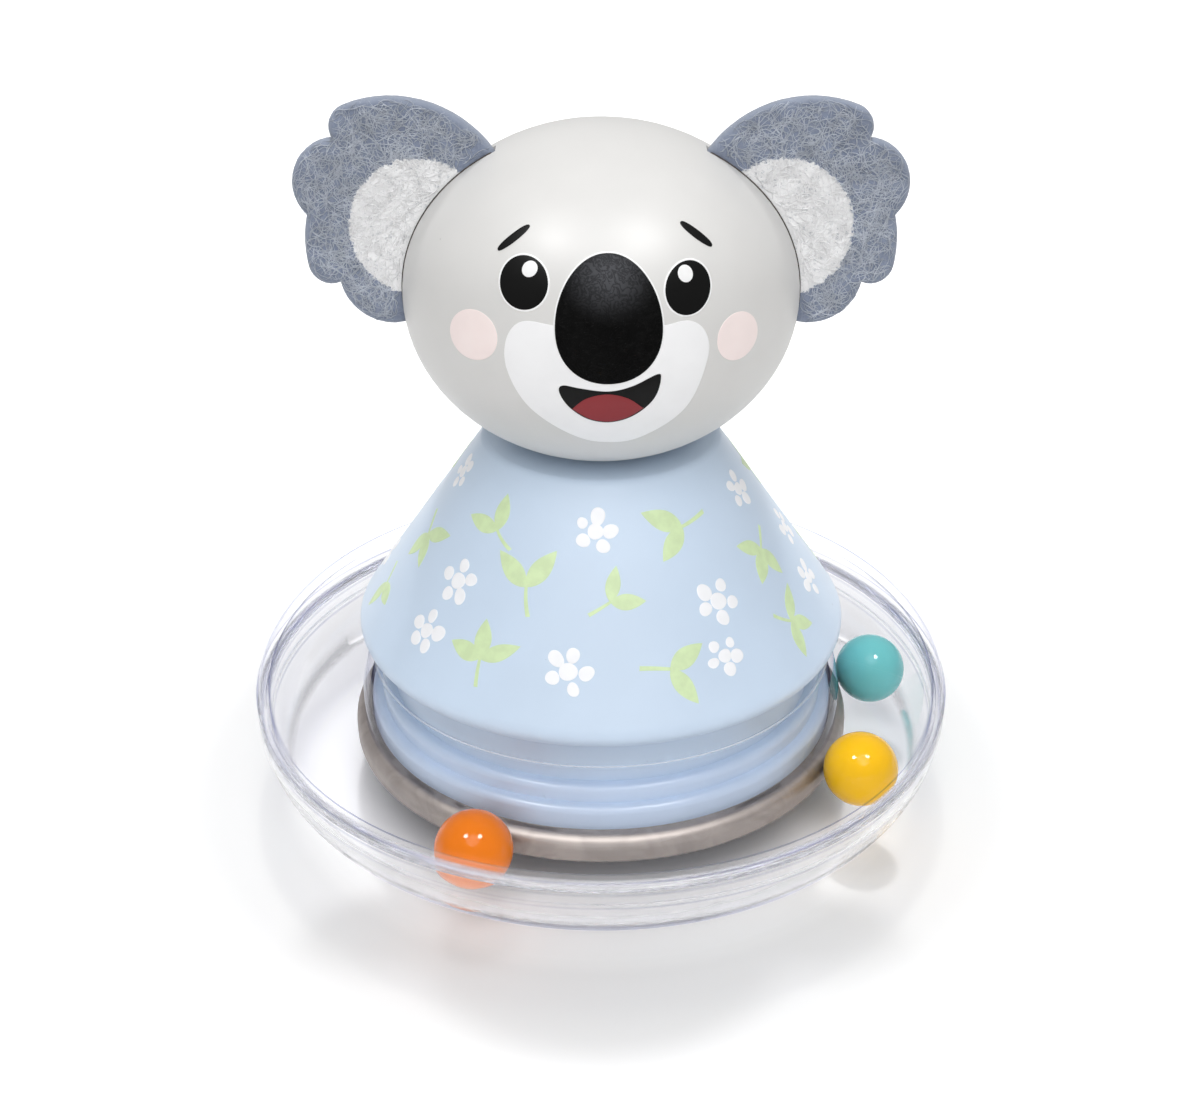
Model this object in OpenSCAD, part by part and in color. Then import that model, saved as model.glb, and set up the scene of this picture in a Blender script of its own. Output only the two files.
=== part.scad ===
// Roly poly toy: a turned wooden animal on a clear rocking dish with loose balls.
// Sizes are in millimetres. Z points up from the ground, the figure's axis is the
// Z axis, and the face looks towards -Y. Each size from the spool outwards and from
// the ground upwards follows from the ones before it.

/* [Rocking dish] */
// Radius of the curved underside that the toy rocks on
rocker_r = 280; // [220:5:340]
// Diameter of the small flat that the toy rests on
rest_d = 18; // [12:1:26]
// Thickness of the bowl's floor
floor_t = 3.2; // [2.4:0.1:4]
// Thickness of the dish's side walls
wall_t = 2.5; // [1.8:0.1:3]
// Radius of the side wall's curve below the seam
flare_r = 19.4; // [17:0.2:22]
// Radius of the outer corner between side wall and underside
corner_r = 5; // [3:0.5:7]
// Radius of the inner corner between side wall and floor
nook_r = 3; // [2:0.5:4]
// Thickness of the ribs and rings that carry the weight
rib_t = 2; // [1.5:0.1:3]
// Number of ribs that carry the weight
rib_count = 6; // [4:1:10]
// Diameter of the inner rib ring
inner_ring_d = 28; // [22:1:32]
// Diameter of the outer rib ring
outer_ring_d = 82; // [76:1:90]

/* [Rim] */
// Height of the seam above the middles of the balls
seam_rise = 4.2; // [3:0.2:6]
// Height of the bead above the seam
bead_h = 3.1; // [2.4:0.1:4]
// Depth of the step from the bead to the shoulder
bead_step = 0.5; // [0.3:0.1:0.8]
// Radius of the shoulder between bead and rim
shoulder_r = 8; // [7.4:0.2:10]
// Width of the weld tongue on the bowl's edge
tongue_w = 0.9; // [0.6:0.1:1.2]
// Height of the weld tongue
tongue_h = 1.3; // [0.8:0.1:1.8]

/* [Cover and hub] */
// Thickness of the cover's flat top
cover_t = 2.5; // [1.8:0.1:3]
// Thickness of the hub's wall
hub_t = 1.6; // [1.2:0.1:2]
// How far the hub draws in from its foot to its collar
hub_draw = 2; // [1:0.2:3]
// Height of the hub's straight foot above the spool's flange
hub_straight = 1; // [0.6:0.2:2]
// Radius of the rounded collar edge
collar_round = 0.7; // [0.4:0.1:1]
// Free height above the balls in the race
race_head = 3.7; // [2:0.1:6]
// Free width between the balls and the outer wall
race_play = 2.85; // [2:0.05:4]

/* [Balls] */
// Diameter of a ball
ball_d = 15; // [13:0.5:17]
// Places of the teal, yellow and orange balls round the race, from +X
ball_turns = [8, -29.4, -113.5];

/* [Weight] */
// Thickness of the steel weight
weight_t = 5.3; // [4:0.1:7]
// How far the weight stands out past the hub
weight_lip = 1.8; // [1:0.1:2.4]
// Radius of the weight's upper edge
weight_round = 2.4; // [1.6:0.1:3]
// Radius of the weight's lower edge
weight_ease = 0.8; // [0.4:0.1:1.2]
// Height of the weight's edge above the bowl's floor
weight_lift = 4; // [3:0.1:6]

/* [Spool] */
// Diameter of the spool's neck
neck_d = 88; // [80:1:96]
// How far the step stands out from the neck
step_out = 2.6; // [1.5:0.1:3.2]
// How far the foot flange stands out from the neck
flange_out = 4.9; // [4:0.1:6]
// Height of the foot flange
flange_h = 4.6; // [3.5:0.1:6]
// Height of the step above the flange
step_h = 3.3; // [2.5:0.1:4]
// Radius of the flange's and the step's upper edges
spool_round = 1.4; // [0.8:0.1:2]
// Thickness of the spool's wall and deck
spool_t = 2.5; // [2:0.1:3]
// Height of the open groove between cover and cone
groove_h = 4.7; // [3.5:0.1:7]
// Width of the two latch windows in the neck
window_w = 5.4; // [4:0.2:8]
// Height of the latch windows
window_h = 5; // [3:0.2:6]
// Place of the first latch window, from +X
window_turn = -22; // [-90:1:90]

/* [Cone body] */
// Largest diameter of the cone
cone_d = 100.6; // [92:0.2:110]
// Diameter of the cone's top
cone_top_d = 49; // [44:0.5:56]
// Height of the cone
cone_h = 43; // [36:0.5:52]
// Radius of the cone's rounded foot
cone_round = 3.2; // [2:0.1:5]
// Radius of the cone's upper edge
cone_top_round = 2; // [1:0.1:3]

/* [Head] */
// Width of the head
head_d = 75.6; // [66:0.2:84]
// Full height of the head's oval before its seat is cut
head_h = 63.4; // [56:0.2:72]
// Diameter of the head's flat seat
seat_d = 28; // [24:0.5:34]
// Diameter of the neck dowel
dowel_d = 10; // [8:0.5:14]
// Depth of the dowel in the cone
dowel_in_cone = 18; // [12:1:24]
// Depth of the dowel in the head
dowel_in_head = 20; // [12:1:26]
// Bevel on the dowel's ends
dowel_bevel = 1; // [0.5:0.1:1.5]

/* [Ears] */
// Thickness of the felt
felt_t = 3; // [2:0.1:4]
// Depth of the ear in its slot
ear_tab = 7; // [5:0.5:9]
// How far the ear's middle lies inside the head's side
ear_inset = 3.9; // [2:0.1:6]
// Height of the ear's middle above the head's middle
ear_rise = 12.4; // [9:0.2:15]
// Radius of the crown, the long top edge
crown_r = 23; // [20:0.5:26]
// Middle of the crown's arc, from the ear's middle
crown_at = [4.6, 1.2];
// Direction in which the crown starts, at the head
crown_start = 141; // [130:1:150]
// Direction in which the crown turns into its tip
crown_end = 67.7; // [60:0.5:75]
// Radius of the crown's tip
crown_tip_r = 4; // [3:0.1:5]
// Radius of the upper side lobe
lobe_r = 8.5; // [7.5:0.1:9.5]
// Middle of the upper side lobe, from the ear's middle
lobe_at = [14.8, 8.2];
// Radius of the long lower side lobe
side_r = 23.7; // [22:0.1:25]
// Middle of the lower side lobe's arc, from the ear's middle
side_at = [-1.9, -3.5];
// Direction in which the lower side lobe turns into its tip
side_end = -9.6; // [-16:0.2:-4]
// Radius of the lower side lobe's tip
side_tip_r = 4.2; // [3.4:0.1:5]
// Radius of the bottom lobe
foot_r = 9.9; // [8.5:0.1:11]
// Middle of the bottom lobe, from the ear's middle
foot_at = [5.9, -8.9];
// Direction in which the bottom lobe ends, at the head
foot_end = -92; // [-110:1:-80]

/* [Screws] */
// Diameter of a body screw's shank
body_screw_d = 3.5; // [3:0.1:4.5]
// Length of a body screw under its head
body_screw_l = 18; // [14:1:24]
// Diameter of the body screws' circle
body_screw_pcd = 36; // [30:1:40]
// Number of body screws
body_screw_count = 4; // [3:1:6]
// Diameter of a weight screw's shank
weight_screw_d = 4; // [3:0.1:4.5]
// Length of a weight screw
weight_screw_l = 13; // [10:1:16]
// Diameter of the weight screws' circle
weight_screw_pcd = 64; // [58:1:68]
// Number of weight screws
weight_screw_count = 3; // [3:1:4]
// Wall round a screw hole in a boss
boss_wall = 2.6; // [2:0.1:3.4]

/* [Clearances] */
// Between pieces that nest without moving
fit_gap = 0.3; // [0.2:0.05:0.4]
// Between the balls and what they roll on
run_gap = 0.3; // [0.2:0.05:0.4]
// Round screws, the dowel and the weld tongue
snug_gap = 0.1; // [0.05:0.05:0.2]
// On each side of the felt in its slot
slot_gap = 0.5; // [0.3:0.1:0.8]

/* [Hidden] */
$fn = 96;

// How far a cut reaches past a face
past = 1;
// Latch windows in the neck
window_count = 2;
// Segments in a long, a middling and a short arc of a profile
long_arc = 14;
mid_arc = 8;
short_arc = 4;
// Segments round half of the head's oval
head_steps = 48;
// Screw heads and points, as shares of the shank
pan_head = 2;
pan_height = 0.6;
flat_head = 2;
point_end = 0.25;
// Recess of a screw's drive, as shares of its head
drive_w = 0.16;
drive_l = 0.6;
drive_h = 0.35;

// Spool, hub and weight, from the axis outwards
neck_r = neck_d / 2;
step_r = neck_r + step_out;
flange_r = neck_r + flange_out;
hub_in_r = flange_r + fit_gap;
hub_r = hub_in_r + hub_t;
collar_r = hub_r - hub_draw;
weight_r = hub_r + weight_lip;

// Rocking underside, floor and weight, from the ground upwards
rocker_mid = [0, sqrt(pow(rocker_r, 2) - pow(rest_d / 2, 2))];
floor_r = rocker_r - floor_t;
floor_low = rocker_mid[1] * floor_t / rocker_r;
weight_z = floor_z(weight_r) + weight_lift;
weight_top = weight_z + weight_t;

// Balls: they lie on the floor, beside the weight's rounded edge
ball_r = ball_d / 2;
weight_edge = [weight_r - weight_round, weight_top - weight_round];
ball_mid = meet(rocker_mid, floor_r - ball_r - run_gap, weight_edge, weight_round + ball_r + run_gap);
track_r = ball_mid[0];
ball_z = ball_mid[1];

// Dish rim and cover, round and over the balls
dish_r = track_r + ball_r + race_play + wall_t;
seam_z = ball_z + seam_rise;
bead_z = seam_z + bead_h;
cover_under = ball_z + ball_r + race_head;
cover_top = cover_under + cover_t;
flare_mid = [dish_r - flare_r, seam_z];
shoulder_mid = [dish_r - bead_step - shoulder_r, max(bead_z, cover_top - shoulder_r)];
tongue_r = dish_r - wall_t / 2;

// Spool heights, and the cone and the head above it
flange_z = weight_top + flange_h;
step_z = flange_z + step_h;
hub_bend_z = flange_z + hub_straight;
deck_top = cover_top + groove_h;
deck_under = deck_top - spool_t;
spool_in_r = neck_r - spool_t;
cone_top = deck_top + cone_h;
head_rx = head_d / 2;
head_rz = head_h / 2;
head_z = cone_top + head_rz * sqrt(1 - pow(seat_d / head_d, 2));
ear_mid = [head_rx - ear_inset, head_z + ear_rise];

// Height of the bowl's inner floor at a distance from the axis
function floor_z(r) = rocker_mid[1] - sqrt(pow(floor_r, 2) - pow(r, 2));

// Direction from one point to another
function heading(from, to) = atan2(to[1] - from[1], to[0] - from[0]);

// Points on an arc
function arc(mid, r, from, to, steps) = [
    for (i = [0 : steps])
        let (turn = from + (to - from) * i / steps)
        mid + r * [cos(turn), sin(turn)]
];

// The crossing of two circles that lies to the left on the way from the first to the second
function meet(mid_a, r_a, mid_b, r_b) =
    let (apart = norm(mid_b - mid_a))
    let (way = (mid_b - mid_a) / apart)
    let (along = (pow(apart, 2) + pow(r_a, 2) - pow(r_b, 2)) / (2 * apart))
    let (aside = sqrt(max(0, pow(r_a, 2) - pow(along, 2))))
    mid_a + along * way + aside * [-way[1], way[0]];

// A round corner inside a wide arc about the rocker's middle and an upright arc about the flare's
// middle, as the points from the wide arc to the upright one
function inner_corner(wide_r, upright_r, r) =
    let (mid = meet(rocker_mid, wide_r - r, flare_mid, upright_r - r))
    arc(mid, r, heading(rocker_mid, mid), heading(flare_mid, mid), mid_arc);

// One side of the bowl: the wide arc from a start point, the corner, and the wall up to the seam
function bowl_side(start, wide_r, upright_r, r) =
    let (corner = inner_corner(wide_r, upright_r, r))
    concat(
        arc(rocker_mid, wide_r, heading(rocker_mid, start), heading(rocker_mid, corner[0]), long_arc),
        corner,
        arc(flare_mid, upright_r, heading(flare_mid, corner[mid_arc]), 0, mid_arc)
    );

// The weld tongue's section from its outer to its inner foot, larger all round by some amount
function tongue_points(grow) =
    let (half = tongue_w / 2 + grow)
    let (tip = seam_z + tongue_h + grow)
    [[tongue_r + half, seam_z], [tongue_r + half, tip], [tongue_r - half, tip], [tongue_r - half, seam_z]];

// A list of points in the opposite order
function backwards(points) = [for (i = [len(points) - 1 : -1 : 0]) points[i]];

// A circle of copies round the axis
module ring_of(count, r, turn = 0) {
    for (i = [0 : count - 1])
        rotate(turn + 360 * i / count)
            translate([r, 0, 0])
                children();
}

// Pan-head wood screw that points up, with the underside of its head at the origin
module pan_screw(d, l) {
    cap_h = pan_height * d;
    difference() {
        union() {
            translate([0, 0, -cap_h])
                cylinder(d = pan_head * d, h = cap_h);
            cylinder(d = d, h = l - d);
            translate([0, 0, l - d])
                cylinder(d1 = d, d2 = point_end * d, h = d);
        }
        cross_recess(d * pan_head, -cap_h);
    }
}

// Height of a countersunk head
function sink_h(d) = (flat_head - 1) * d / 2;

// Countersunk screw that points up, with the face of its head at the origin
module flat_screw(d, l) {
    difference() {
        union() {
            cylinder(d1 = flat_head * d, d2 = d, h = sink_h(d));
            cylinder(d = d, h = l);
        }
        cross_recess(d * flat_head, 0);
    }
}

// Cross-shaped drive recess, upwards from the face of a screw's head
module cross_recess(cap_d, z) {
    for (turn = [0, 90])
        rotate(turn)
            translate([-drive_l * cap_d / 2, -drive_w * cap_d / 2, z - past])
                cube([drive_l * cap_d, drive_w * cap_d, drive_h * cap_d / 2 + past]);
}

// Oval cross-section of the head in a plane through its axis, larger or smaller by some amount
module head_oval(grow = 0) {
    polygon([
        for (i = [0 : 2 * head_steps - 1])
            let (turn = 180 * i / head_steps)
            [(head_rx + grow) * cos(turn), head_z + (head_rz + grow) * sin(turn)]
    ]);
}

// Flat shape of the right ear with its tab, larger all round by some amount
module ear_blank(grow = 0) {
    crown = ear_mid + crown_at;
    crown_tip = crown + (crown_r - crown_tip_r) * [cos(crown_end), sin(crown_end)];
    lobe = ear_mid + lobe_at;
    side = ear_mid + side_at;
    side_tip = side + (side_r - side_tip_r) * [cos(side_end), sin(side_end)];
    foot = ear_mid + foot_at;
    upper_notch = meet(crown_tip, crown_tip_r + grow, lobe, lobe_r + grow);
    middle_notch = meet(lobe, lobe_r + grow, side, side_r + grow);
    lower_notch = meet(side_tip, side_tip_r + grow, foot, foot_r + grow);
    difference() {
        polygon(concat(
            [[0, head_z]],
            arc(crown, crown_r + grow, crown_start, crown_end, long_arc),
            arc(crown_tip, crown_tip_r + grow, crown_end, heading(crown_tip, upper_notch), mid_arc),
            arc(lobe, lobe_r + grow, heading(lobe, upper_notch), heading(lobe, middle_notch), long_arc),
            arc(side, side_r + grow, heading(side, middle_notch), side_end, mid_arc),
            arc(side_tip, side_tip_r + grow, side_end, heading(side_tip, lower_notch), mid_arc),
            arc(foot, foot_r + grow, heading(foot, lower_notch), foot_end, long_arc)
        ));
        head_oval(-ear_tab - grow);
    }
}

// A sheet of the right ear's shape, upright in the plane of the ears
module ear_sheet(thickness, grow = 0) {
    translate([0, thickness / 2, 0])
        rotate([90, 0, 0])
            linear_extrude(thickness)
                ear_blank(grow);
}

// Turned head with its flat seat, dowel bore and ear slots
module head() {
    color("gainsboro")
        difference() {
            rotate_extrude()
                intersection() {
                    head_oval();
                    translate([0, cone_top])
                        square([head_d, head_h]);
                }
            translate([0, 0, cone_top - past])
                cylinder(d = dowel_d + 2 * snug_gap, h = dowel_in_head + snug_gap + past);
            for (side = [0, 1])
                mirror([side, 0, 0])
                    ear_sheet(felt_t + 2 * slot_gap, slot_gap);
        }
}

// Felt ear on the side of +X
module right_ear() {
    color("lightslategray")
        ear_sheet(felt_t);
}

// Felt ear on the side of -X
module left_ear() {
    color("lightslategray")
        mirror([1, 0, 0])
            ear_sheet(felt_t);
}

// Dowel between the cone and the head, with bevelled ends
module neck_dowel() {
    length = dowel_in_cone + dowel_in_head;
    color("burlywood")
        translate([0, 0, cone_top - dowel_in_cone]) {
            cylinder(d1 = dowel_d - 2 * dowel_bevel, d2 = dowel_d, h = dowel_bevel);
            translate([0, 0, dowel_bevel])
                cylinder(d = dowel_d, h = length - 2 * dowel_bevel);
            translate([0, 0, length - dowel_bevel])
                cylinder(d1 = dowel_d, d2 = dowel_d - 2 * dowel_bevel, h = dowel_bevel);
        }
}

// Turned cone with a rounded foot, its side tangent to the foot's and the top's arcs
module body_cone() {
    foot = [cone_d / 2 - cone_round, deck_top + cone_round];
    top = [cone_top_d / 2 - cone_top_round, cone_top - cone_top_round];
    slope = heading(foot, top) - acos((cone_round - cone_top_round) / norm(top - foot));
    color("lightsteelblue")
        difference() {
            rotate_extrude()
                polygon(concat(
                    [[0, deck_top]],
                    arc(foot, cone_round, -90, slope, mid_arc),
                    arc(top, cone_top_round, slope, 90, mid_arc),
                    [[0, cone_top]]
                ));
            translate([0, 0, cone_top - dowel_in_cone - snug_gap])
                cylinder(d = dowel_d + 2 * snug_gap, h = dowel_in_cone + snug_gap + past);
            translate([0, 0, deck_top - past])
                ring_of(body_screw_count, body_screw_pcd / 2)
                    cylinder(d = body_screw_d + 2 * snug_gap, h = body_screw_l - spool_t + snug_gap + past);
        }
}

// Wood screws from inside the spool into the cone
module body_screws() {
    color("silver")
        translate([0, 0, deck_under])
            ring_of(body_screw_count, body_screw_pcd / 2)
                pan_screw(body_screw_d, body_screw_l);
}

// Moulded spool: a capped tube with a step, a foot flange, latch windows and bosses for the weight screws
module base_spool() {
    boss_d = weight_screw_d + 2 * boss_wall;
    hole_h = weight_screw_l - weight_t + snug_gap;
    color("cornflowerblue")
        difference() {
            union() {
                rotate_extrude()
                    polygon(concat(
                        [[0, deck_under], [spool_in_r, deck_under], [spool_in_r, weight_top]],
                        [[flange_r, weight_top]],
                        arc([flange_r - spool_round, flange_z - spool_round], spool_round, 0, 90, short_arc),
                        [[step_r, flange_z]],
                        arc([step_r - spool_round, step_z - spool_round], spool_round, 0, 90, short_arc),
                        [[neck_r, step_z], [neck_r, deck_top], [0, deck_top]]
                    ));
                translate([0, 0, weight_top])
                    ring_of(weight_screw_count, weight_screw_pcd / 2)
                        cylinder(d = boss_d, h = deck_under - weight_top + spool_t / 2);
            }
            translate([0, 0, weight_top - past])
                ring_of(weight_screw_count, weight_screw_pcd / 2)
                    cylinder(d = weight_screw_d + 2 * snug_gap, h = hole_h + past);
            translate([0, 0, deck_under - past])
                ring_of(body_screw_count, body_screw_pcd / 2)
                    cylinder(d = body_screw_d + 2 * snug_gap, h = spool_t + 2 * past);
            translate([0, 0, deck_under - window_h])
                ring_of(window_count, spool_in_r - past, window_turn)
                    translate([0, -window_w / 2, 0])
                        cube([spool_t + 2 * past, window_w, window_h]);
        }
}

// Steel disc with a rounded upper edge and countersunk holes
module weight_plate() {
    hole_d = weight_screw_d + 2 * snug_gap;
    sink = sink_h(weight_screw_d);
    color("gray")
        difference() {
            rotate_extrude()
                polygon(concat(
                    [[0, weight_z]],
                    arc([weight_r - weight_ease, weight_z + weight_ease], weight_ease, -90, 0, short_arc),
                    arc(weight_edge, weight_round, 0, 90, mid_arc),
                    [[0, weight_top]]
                ));
            translate([0, 0, weight_z])
                ring_of(weight_screw_count, weight_screw_pcd / 2) {
                    translate([0, 0, -past])
                        cylinder(d = hole_d, h = weight_t + 2 * past);
                    cylinder(d1 = hole_d + 2 * sink, d2 = hole_d, h = sink);
                }
        }
}

// Screws from below through the weight into the spool's bosses
module weight_screws() {
    color("silver")
        translate([0, 0, weight_z])
            ring_of(weight_screw_count, weight_screw_pcd / 2)
                flat_screw(weight_screw_d, weight_screw_l);
}

// Rings and spokes on the bowl's floor that carry the weight
module weight_ribs() {
    intersection() {
        linear_extrude(weight_z) {
            for (d = [inner_ring_d, outer_ring_d])
                difference() {
                    circle(d = d);
                    circle(d = d - 2 * rib_t);
                }
            ring_of(rib_count, (inner_ring_d - rib_t) / 2)
                translate([0, -rib_t / 2])
                    square([(outer_ring_d - inner_ring_d) / 2, rib_t]);
        }
        translate([0, 0, rocker_mid[1]])
            sphere(r = rocker_r - floor_t / 2);
    }
}

// Clear bowl with a curved underside, ribs under the weight, and a weld tongue on its edge
module clear_bowl() {
    color("lavender", 0.4) {
        rotate_extrude()
            polygon(concat(
                [[0, 0]],
                bowl_side([rest_d / 2, 0], rocker_r, flare_r, corner_r),
                tongue_points(0),
                backwards(bowl_side([rest_d / 2, 0], floor_r, flare_r - wall_t, nook_r)),
                [[0, floor_low]]
            ));
        weight_ribs();
    }
}

// Clear ring over the race: bead, shoulder, flat top, and the hub wall down to the weight
module clear_cover() {
    rim_turn = asin(min(1, (cover_top - shoulder_mid[1]) / shoulder_r));
    inner_r = dish_r - wall_t - shoulder_mid[0];
    inner_turn = asin(min(1, (cover_under - shoulder_mid[1]) / inner_r));
    hub_under_r = hub_r - hub_draw * (cover_under - hub_bend_z) / (cover_top - hub_bend_z);
    collar_mid = [collar_r - hub_t + collar_round, cover_top - collar_round];
    color("lavender", 0.4)
        rotate_extrude()
            polygon(concat(
                [[dish_r, seam_z], [dish_r, bead_z], [dish_r - bead_step, bead_z]],
                arc(shoulder_mid, shoulder_r, 0, rim_turn, mid_arc),
                arc(collar_mid, collar_round, 90, 180, short_arc),
                [[hub_in_r, hub_bend_z], [hub_in_r, weight_top], [hub_r, weight_top], [hub_r, hub_bend_z]],
                [[hub_under_r, cover_under]],
                arc(shoulder_mid, inner_r, inner_turn, 0, mid_arc),
                [[dish_r - wall_t, seam_z]],
                backwards(tongue_points(snug_gap))
            ));
}

// Plastic ball at its place in the race
module ball(turn) {
    rotate(turn)
        translate([track_r, 0, ball_z])
            sphere(r = ball_r);
}

// Teal ball
module ball_teal() {
    color("mediumturquoise")
        ball(ball_turns[0]);
}

// Yellow ball
module ball_yellow() {
    color("gold")
        ball(ball_turns[1]);
}

// Orange ball
module ball_orange() {
    color("darkorange")
        ball(ball_turns[2]);
}

head();
left_ear();
right_ear();
neck_dowel();
body_cone();
body_screws();
base_spool();
clear_cover();
clear_bowl();
weight_plate();
weight_screws();
ball_teal();
ball_yellow();
ball_orange();
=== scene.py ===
"""Looks of a roly poly toy: a painted wooden animal with felt ears on a clear rocking dish with balls.

Lengths are in metres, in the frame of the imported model: Z points up and the face looks towards -Y.
"""

import math
import random

import bmesh
import bpy
import numpy as np
from bpy.props import FloatProperty, FloatVectorProperty, IntProperty, PointerProperty
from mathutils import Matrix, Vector
from mathutils.geometry import delaunay_2d_cdt


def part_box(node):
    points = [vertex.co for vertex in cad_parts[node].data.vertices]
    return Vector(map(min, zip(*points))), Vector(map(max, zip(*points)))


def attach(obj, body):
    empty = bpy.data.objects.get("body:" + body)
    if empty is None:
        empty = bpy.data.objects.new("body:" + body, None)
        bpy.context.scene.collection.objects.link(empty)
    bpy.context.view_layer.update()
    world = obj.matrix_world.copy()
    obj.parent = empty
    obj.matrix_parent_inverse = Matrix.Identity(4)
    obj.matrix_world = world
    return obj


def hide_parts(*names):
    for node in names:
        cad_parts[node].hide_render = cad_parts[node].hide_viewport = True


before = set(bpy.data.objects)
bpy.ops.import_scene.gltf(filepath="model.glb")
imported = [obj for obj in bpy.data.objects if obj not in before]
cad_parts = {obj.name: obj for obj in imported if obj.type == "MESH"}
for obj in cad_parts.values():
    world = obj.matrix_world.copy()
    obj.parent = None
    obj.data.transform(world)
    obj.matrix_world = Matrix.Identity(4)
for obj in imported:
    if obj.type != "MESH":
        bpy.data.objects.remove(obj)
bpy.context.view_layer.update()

bl_info = {
    "name": "Roly poly toy",
    "version": (1, 0, 0),
    "blender": (4, 5, 0),
    "location": "3D View > Sidebar > Roly poly",
    "description": "Builds the looks of a roly poly toy around its packed model",
    "category": "Object",
}

MM = 0.001
# Shorter than any real length
TINY = 1e-9
WHITE = (1.0, 1.0, 1.0, 1.0)
BLACK = (0.0, 0.0, 0.0, 1.0)
BODY = "toy"

# The head's oval: its width comes from the frame, its half height is a real size
HEAD_LOW, HEAD_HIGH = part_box("head")
HEAD_WIDE = -HEAD_LOW.y
HEAD_TALL = 31.7 * MM
HEAD_MIDDLE = HEAD_HIGH.z - HEAD_TALL

# The cone's side, between its rounded foot and its rounded top
CONE_LOW, CONE_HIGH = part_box("body_cone")
CONE_FOOT_ROUND = 3.2 * MM
CONE_TOP_ROUND = 2.0 * MM
CONE_TOP_RADIUS = 24.5 * MM

# The middle of an ear, where its pale print has its centre
EAR_MIDDLE = (33.9 * MM, HEAD_MIDDLE + 12.4 * MM)


def srgb(red, green, blue):
    """A colour as a screen shows it, from 0 to 255, as the linear values that Blender takes."""
    shares = [value / 255 for value in (red, green, blue)]
    return tuple(s / 12.92 if s <= 0.04045 else ((s + 0.055) / 1.055) ** 2.4 for s in shares)


def tint(name, description, red, green, blue):
    """A colour property, with its default as a screen shows it."""
    default = srgb(red, green, blue)
    return FloatVectorProperty(
        name=name, description=description, subtype="COLOR", size=3, min=0, max=1, default=default
    )


def length(name, description, millimetres):
    """A length property, with its default in millimetres."""
    return FloatProperty(
        name=name, description=description, subtype="DISTANCE", unit="LENGTH", min=0, default=millimetres * MM
    )


def amount(name, description, default):
    """A plain number."""
    return FloatProperty(name=name, description=description, min=0, default=default)


def whole(name, description, default):
    """A whole number."""
    return IntProperty(name=name, description=description, min=0, default=default)


class ToyPaint(bpy.types.PropertyGroup):
    """Colours and thickness of the paints and prints on the wood."""

    head: tint("Head", "Satin paint of the head", 221, 220, 218)
    muzzle: tint("Muzzle", "Pale print round nose and mouth", 251, 251, 252)
    cheek: tint("Cheeks", "Pink print of the cheeks", 255, 240, 237)
    ink: tint("Black ink", "Nose, eyes, brows and mouth", 9, 9, 9)
    # Painted highlight: a paler grey for the lamps' sheen on the nose's upper part
    sheen: tint("Nose sheen", "Rubbed upper part of the nose", 82, 83, 87)
    border: tint("Border", "White print under the black ink", 246, 246, 246)
    tongue: tint("Tongue", "Dark red print of the tongue", 140, 36, 42)
    cone: tint("Cone", "Satin paint of the cone", 204, 221, 240)
    blossom: tint("Blossoms", "White print of the blossoms", 248, 249, 252)
    leaf: tint("Leaves", "Pale green print of the leaves", 210, 231, 182)
    film: length("Film", "Thickness of one layer of print", 0.05)
    border_width: length("Border width", "Width of the white edge round the black ink", 0.26)


class ToyFelt(bpy.types.PropertyGroup):
    """Colours and fibres of the felt ears."""

    felt: tint("Felt", "Grey-blue wool of the ears", 132, 142, 164)
    fibre: tint("Fibres", "Pale fibres on the wool", 204, 210, 220)
    rim: tint("Rim", "Paler cut edge of the felt", 156, 164, 180)
    middle: tint("Middle", "White print on the ear", 254, 254, 255)
    speck: tint("Specks", "Wool that shows through the white print", 206, 209, 213)
    # Painted shade: the slot edges are darker than bare wood, for the shade in the gaps round the ears
    slot: tint("Slot edge", "Dark bare edge of the slots that hold the ears", 62, 54, 50)
    middle_radius: length("Middle radius", "Radius of the white print", 13.3)
    thickness: length("Thickness", "Thickness of the felt", 3.0)
    mesh_step: length("Mesh step", "Distance between the points of the felt's surface", 0.7)
    front_fibres: whole("Front fibres", "Fibres on an ear's front", 1500)
    back_fibres: whole("Back fibres", "Fibres on an ear's back", 1200)


class ToyPlastic(bpy.types.PropertyGroup):
    """Colours of the plastic pieces."""

    spool: tint("Spool", "Blue plastic of the spool", 198, 214, 233)
    teal: tint("Teal ball", "Teal plastic", 108, 191, 192)
    yellow: tint("Yellow ball", "Yellow plastic", 255, 196, 2)
    orange: tint("Orange ball", "Orange plastic", 255, 131, 0)
    clear: tint("Clear plastic", "Clear plastic seen straight through", 254, 254, 255)
    clear_edge: tint("Clear edges", "Clear plastic seen along its edges", 168, 172, 200)
    held_light: tint("Held light", "Light that runs along inside the clear plastic", 200, 203, 224)
    clear_index: amount("Refraction", "Index of refraction of the clear plastic", 1.49)


class ToyBare(bpy.types.PropertyGroup):
    """Colours of steel and bare wood."""

    weight: tint("Weight", "Turned steel of the weight", 166, 158, 152)
    screw: tint("Screws", "Zinc-plated steel of the screws", 200, 202, 206)
    wood: tint("Wood", "Bare wood of the dowel", 214, 180, 132)
    grain: tint("Grain", "Dark grain of the wood", 172, 128, 82)


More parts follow.
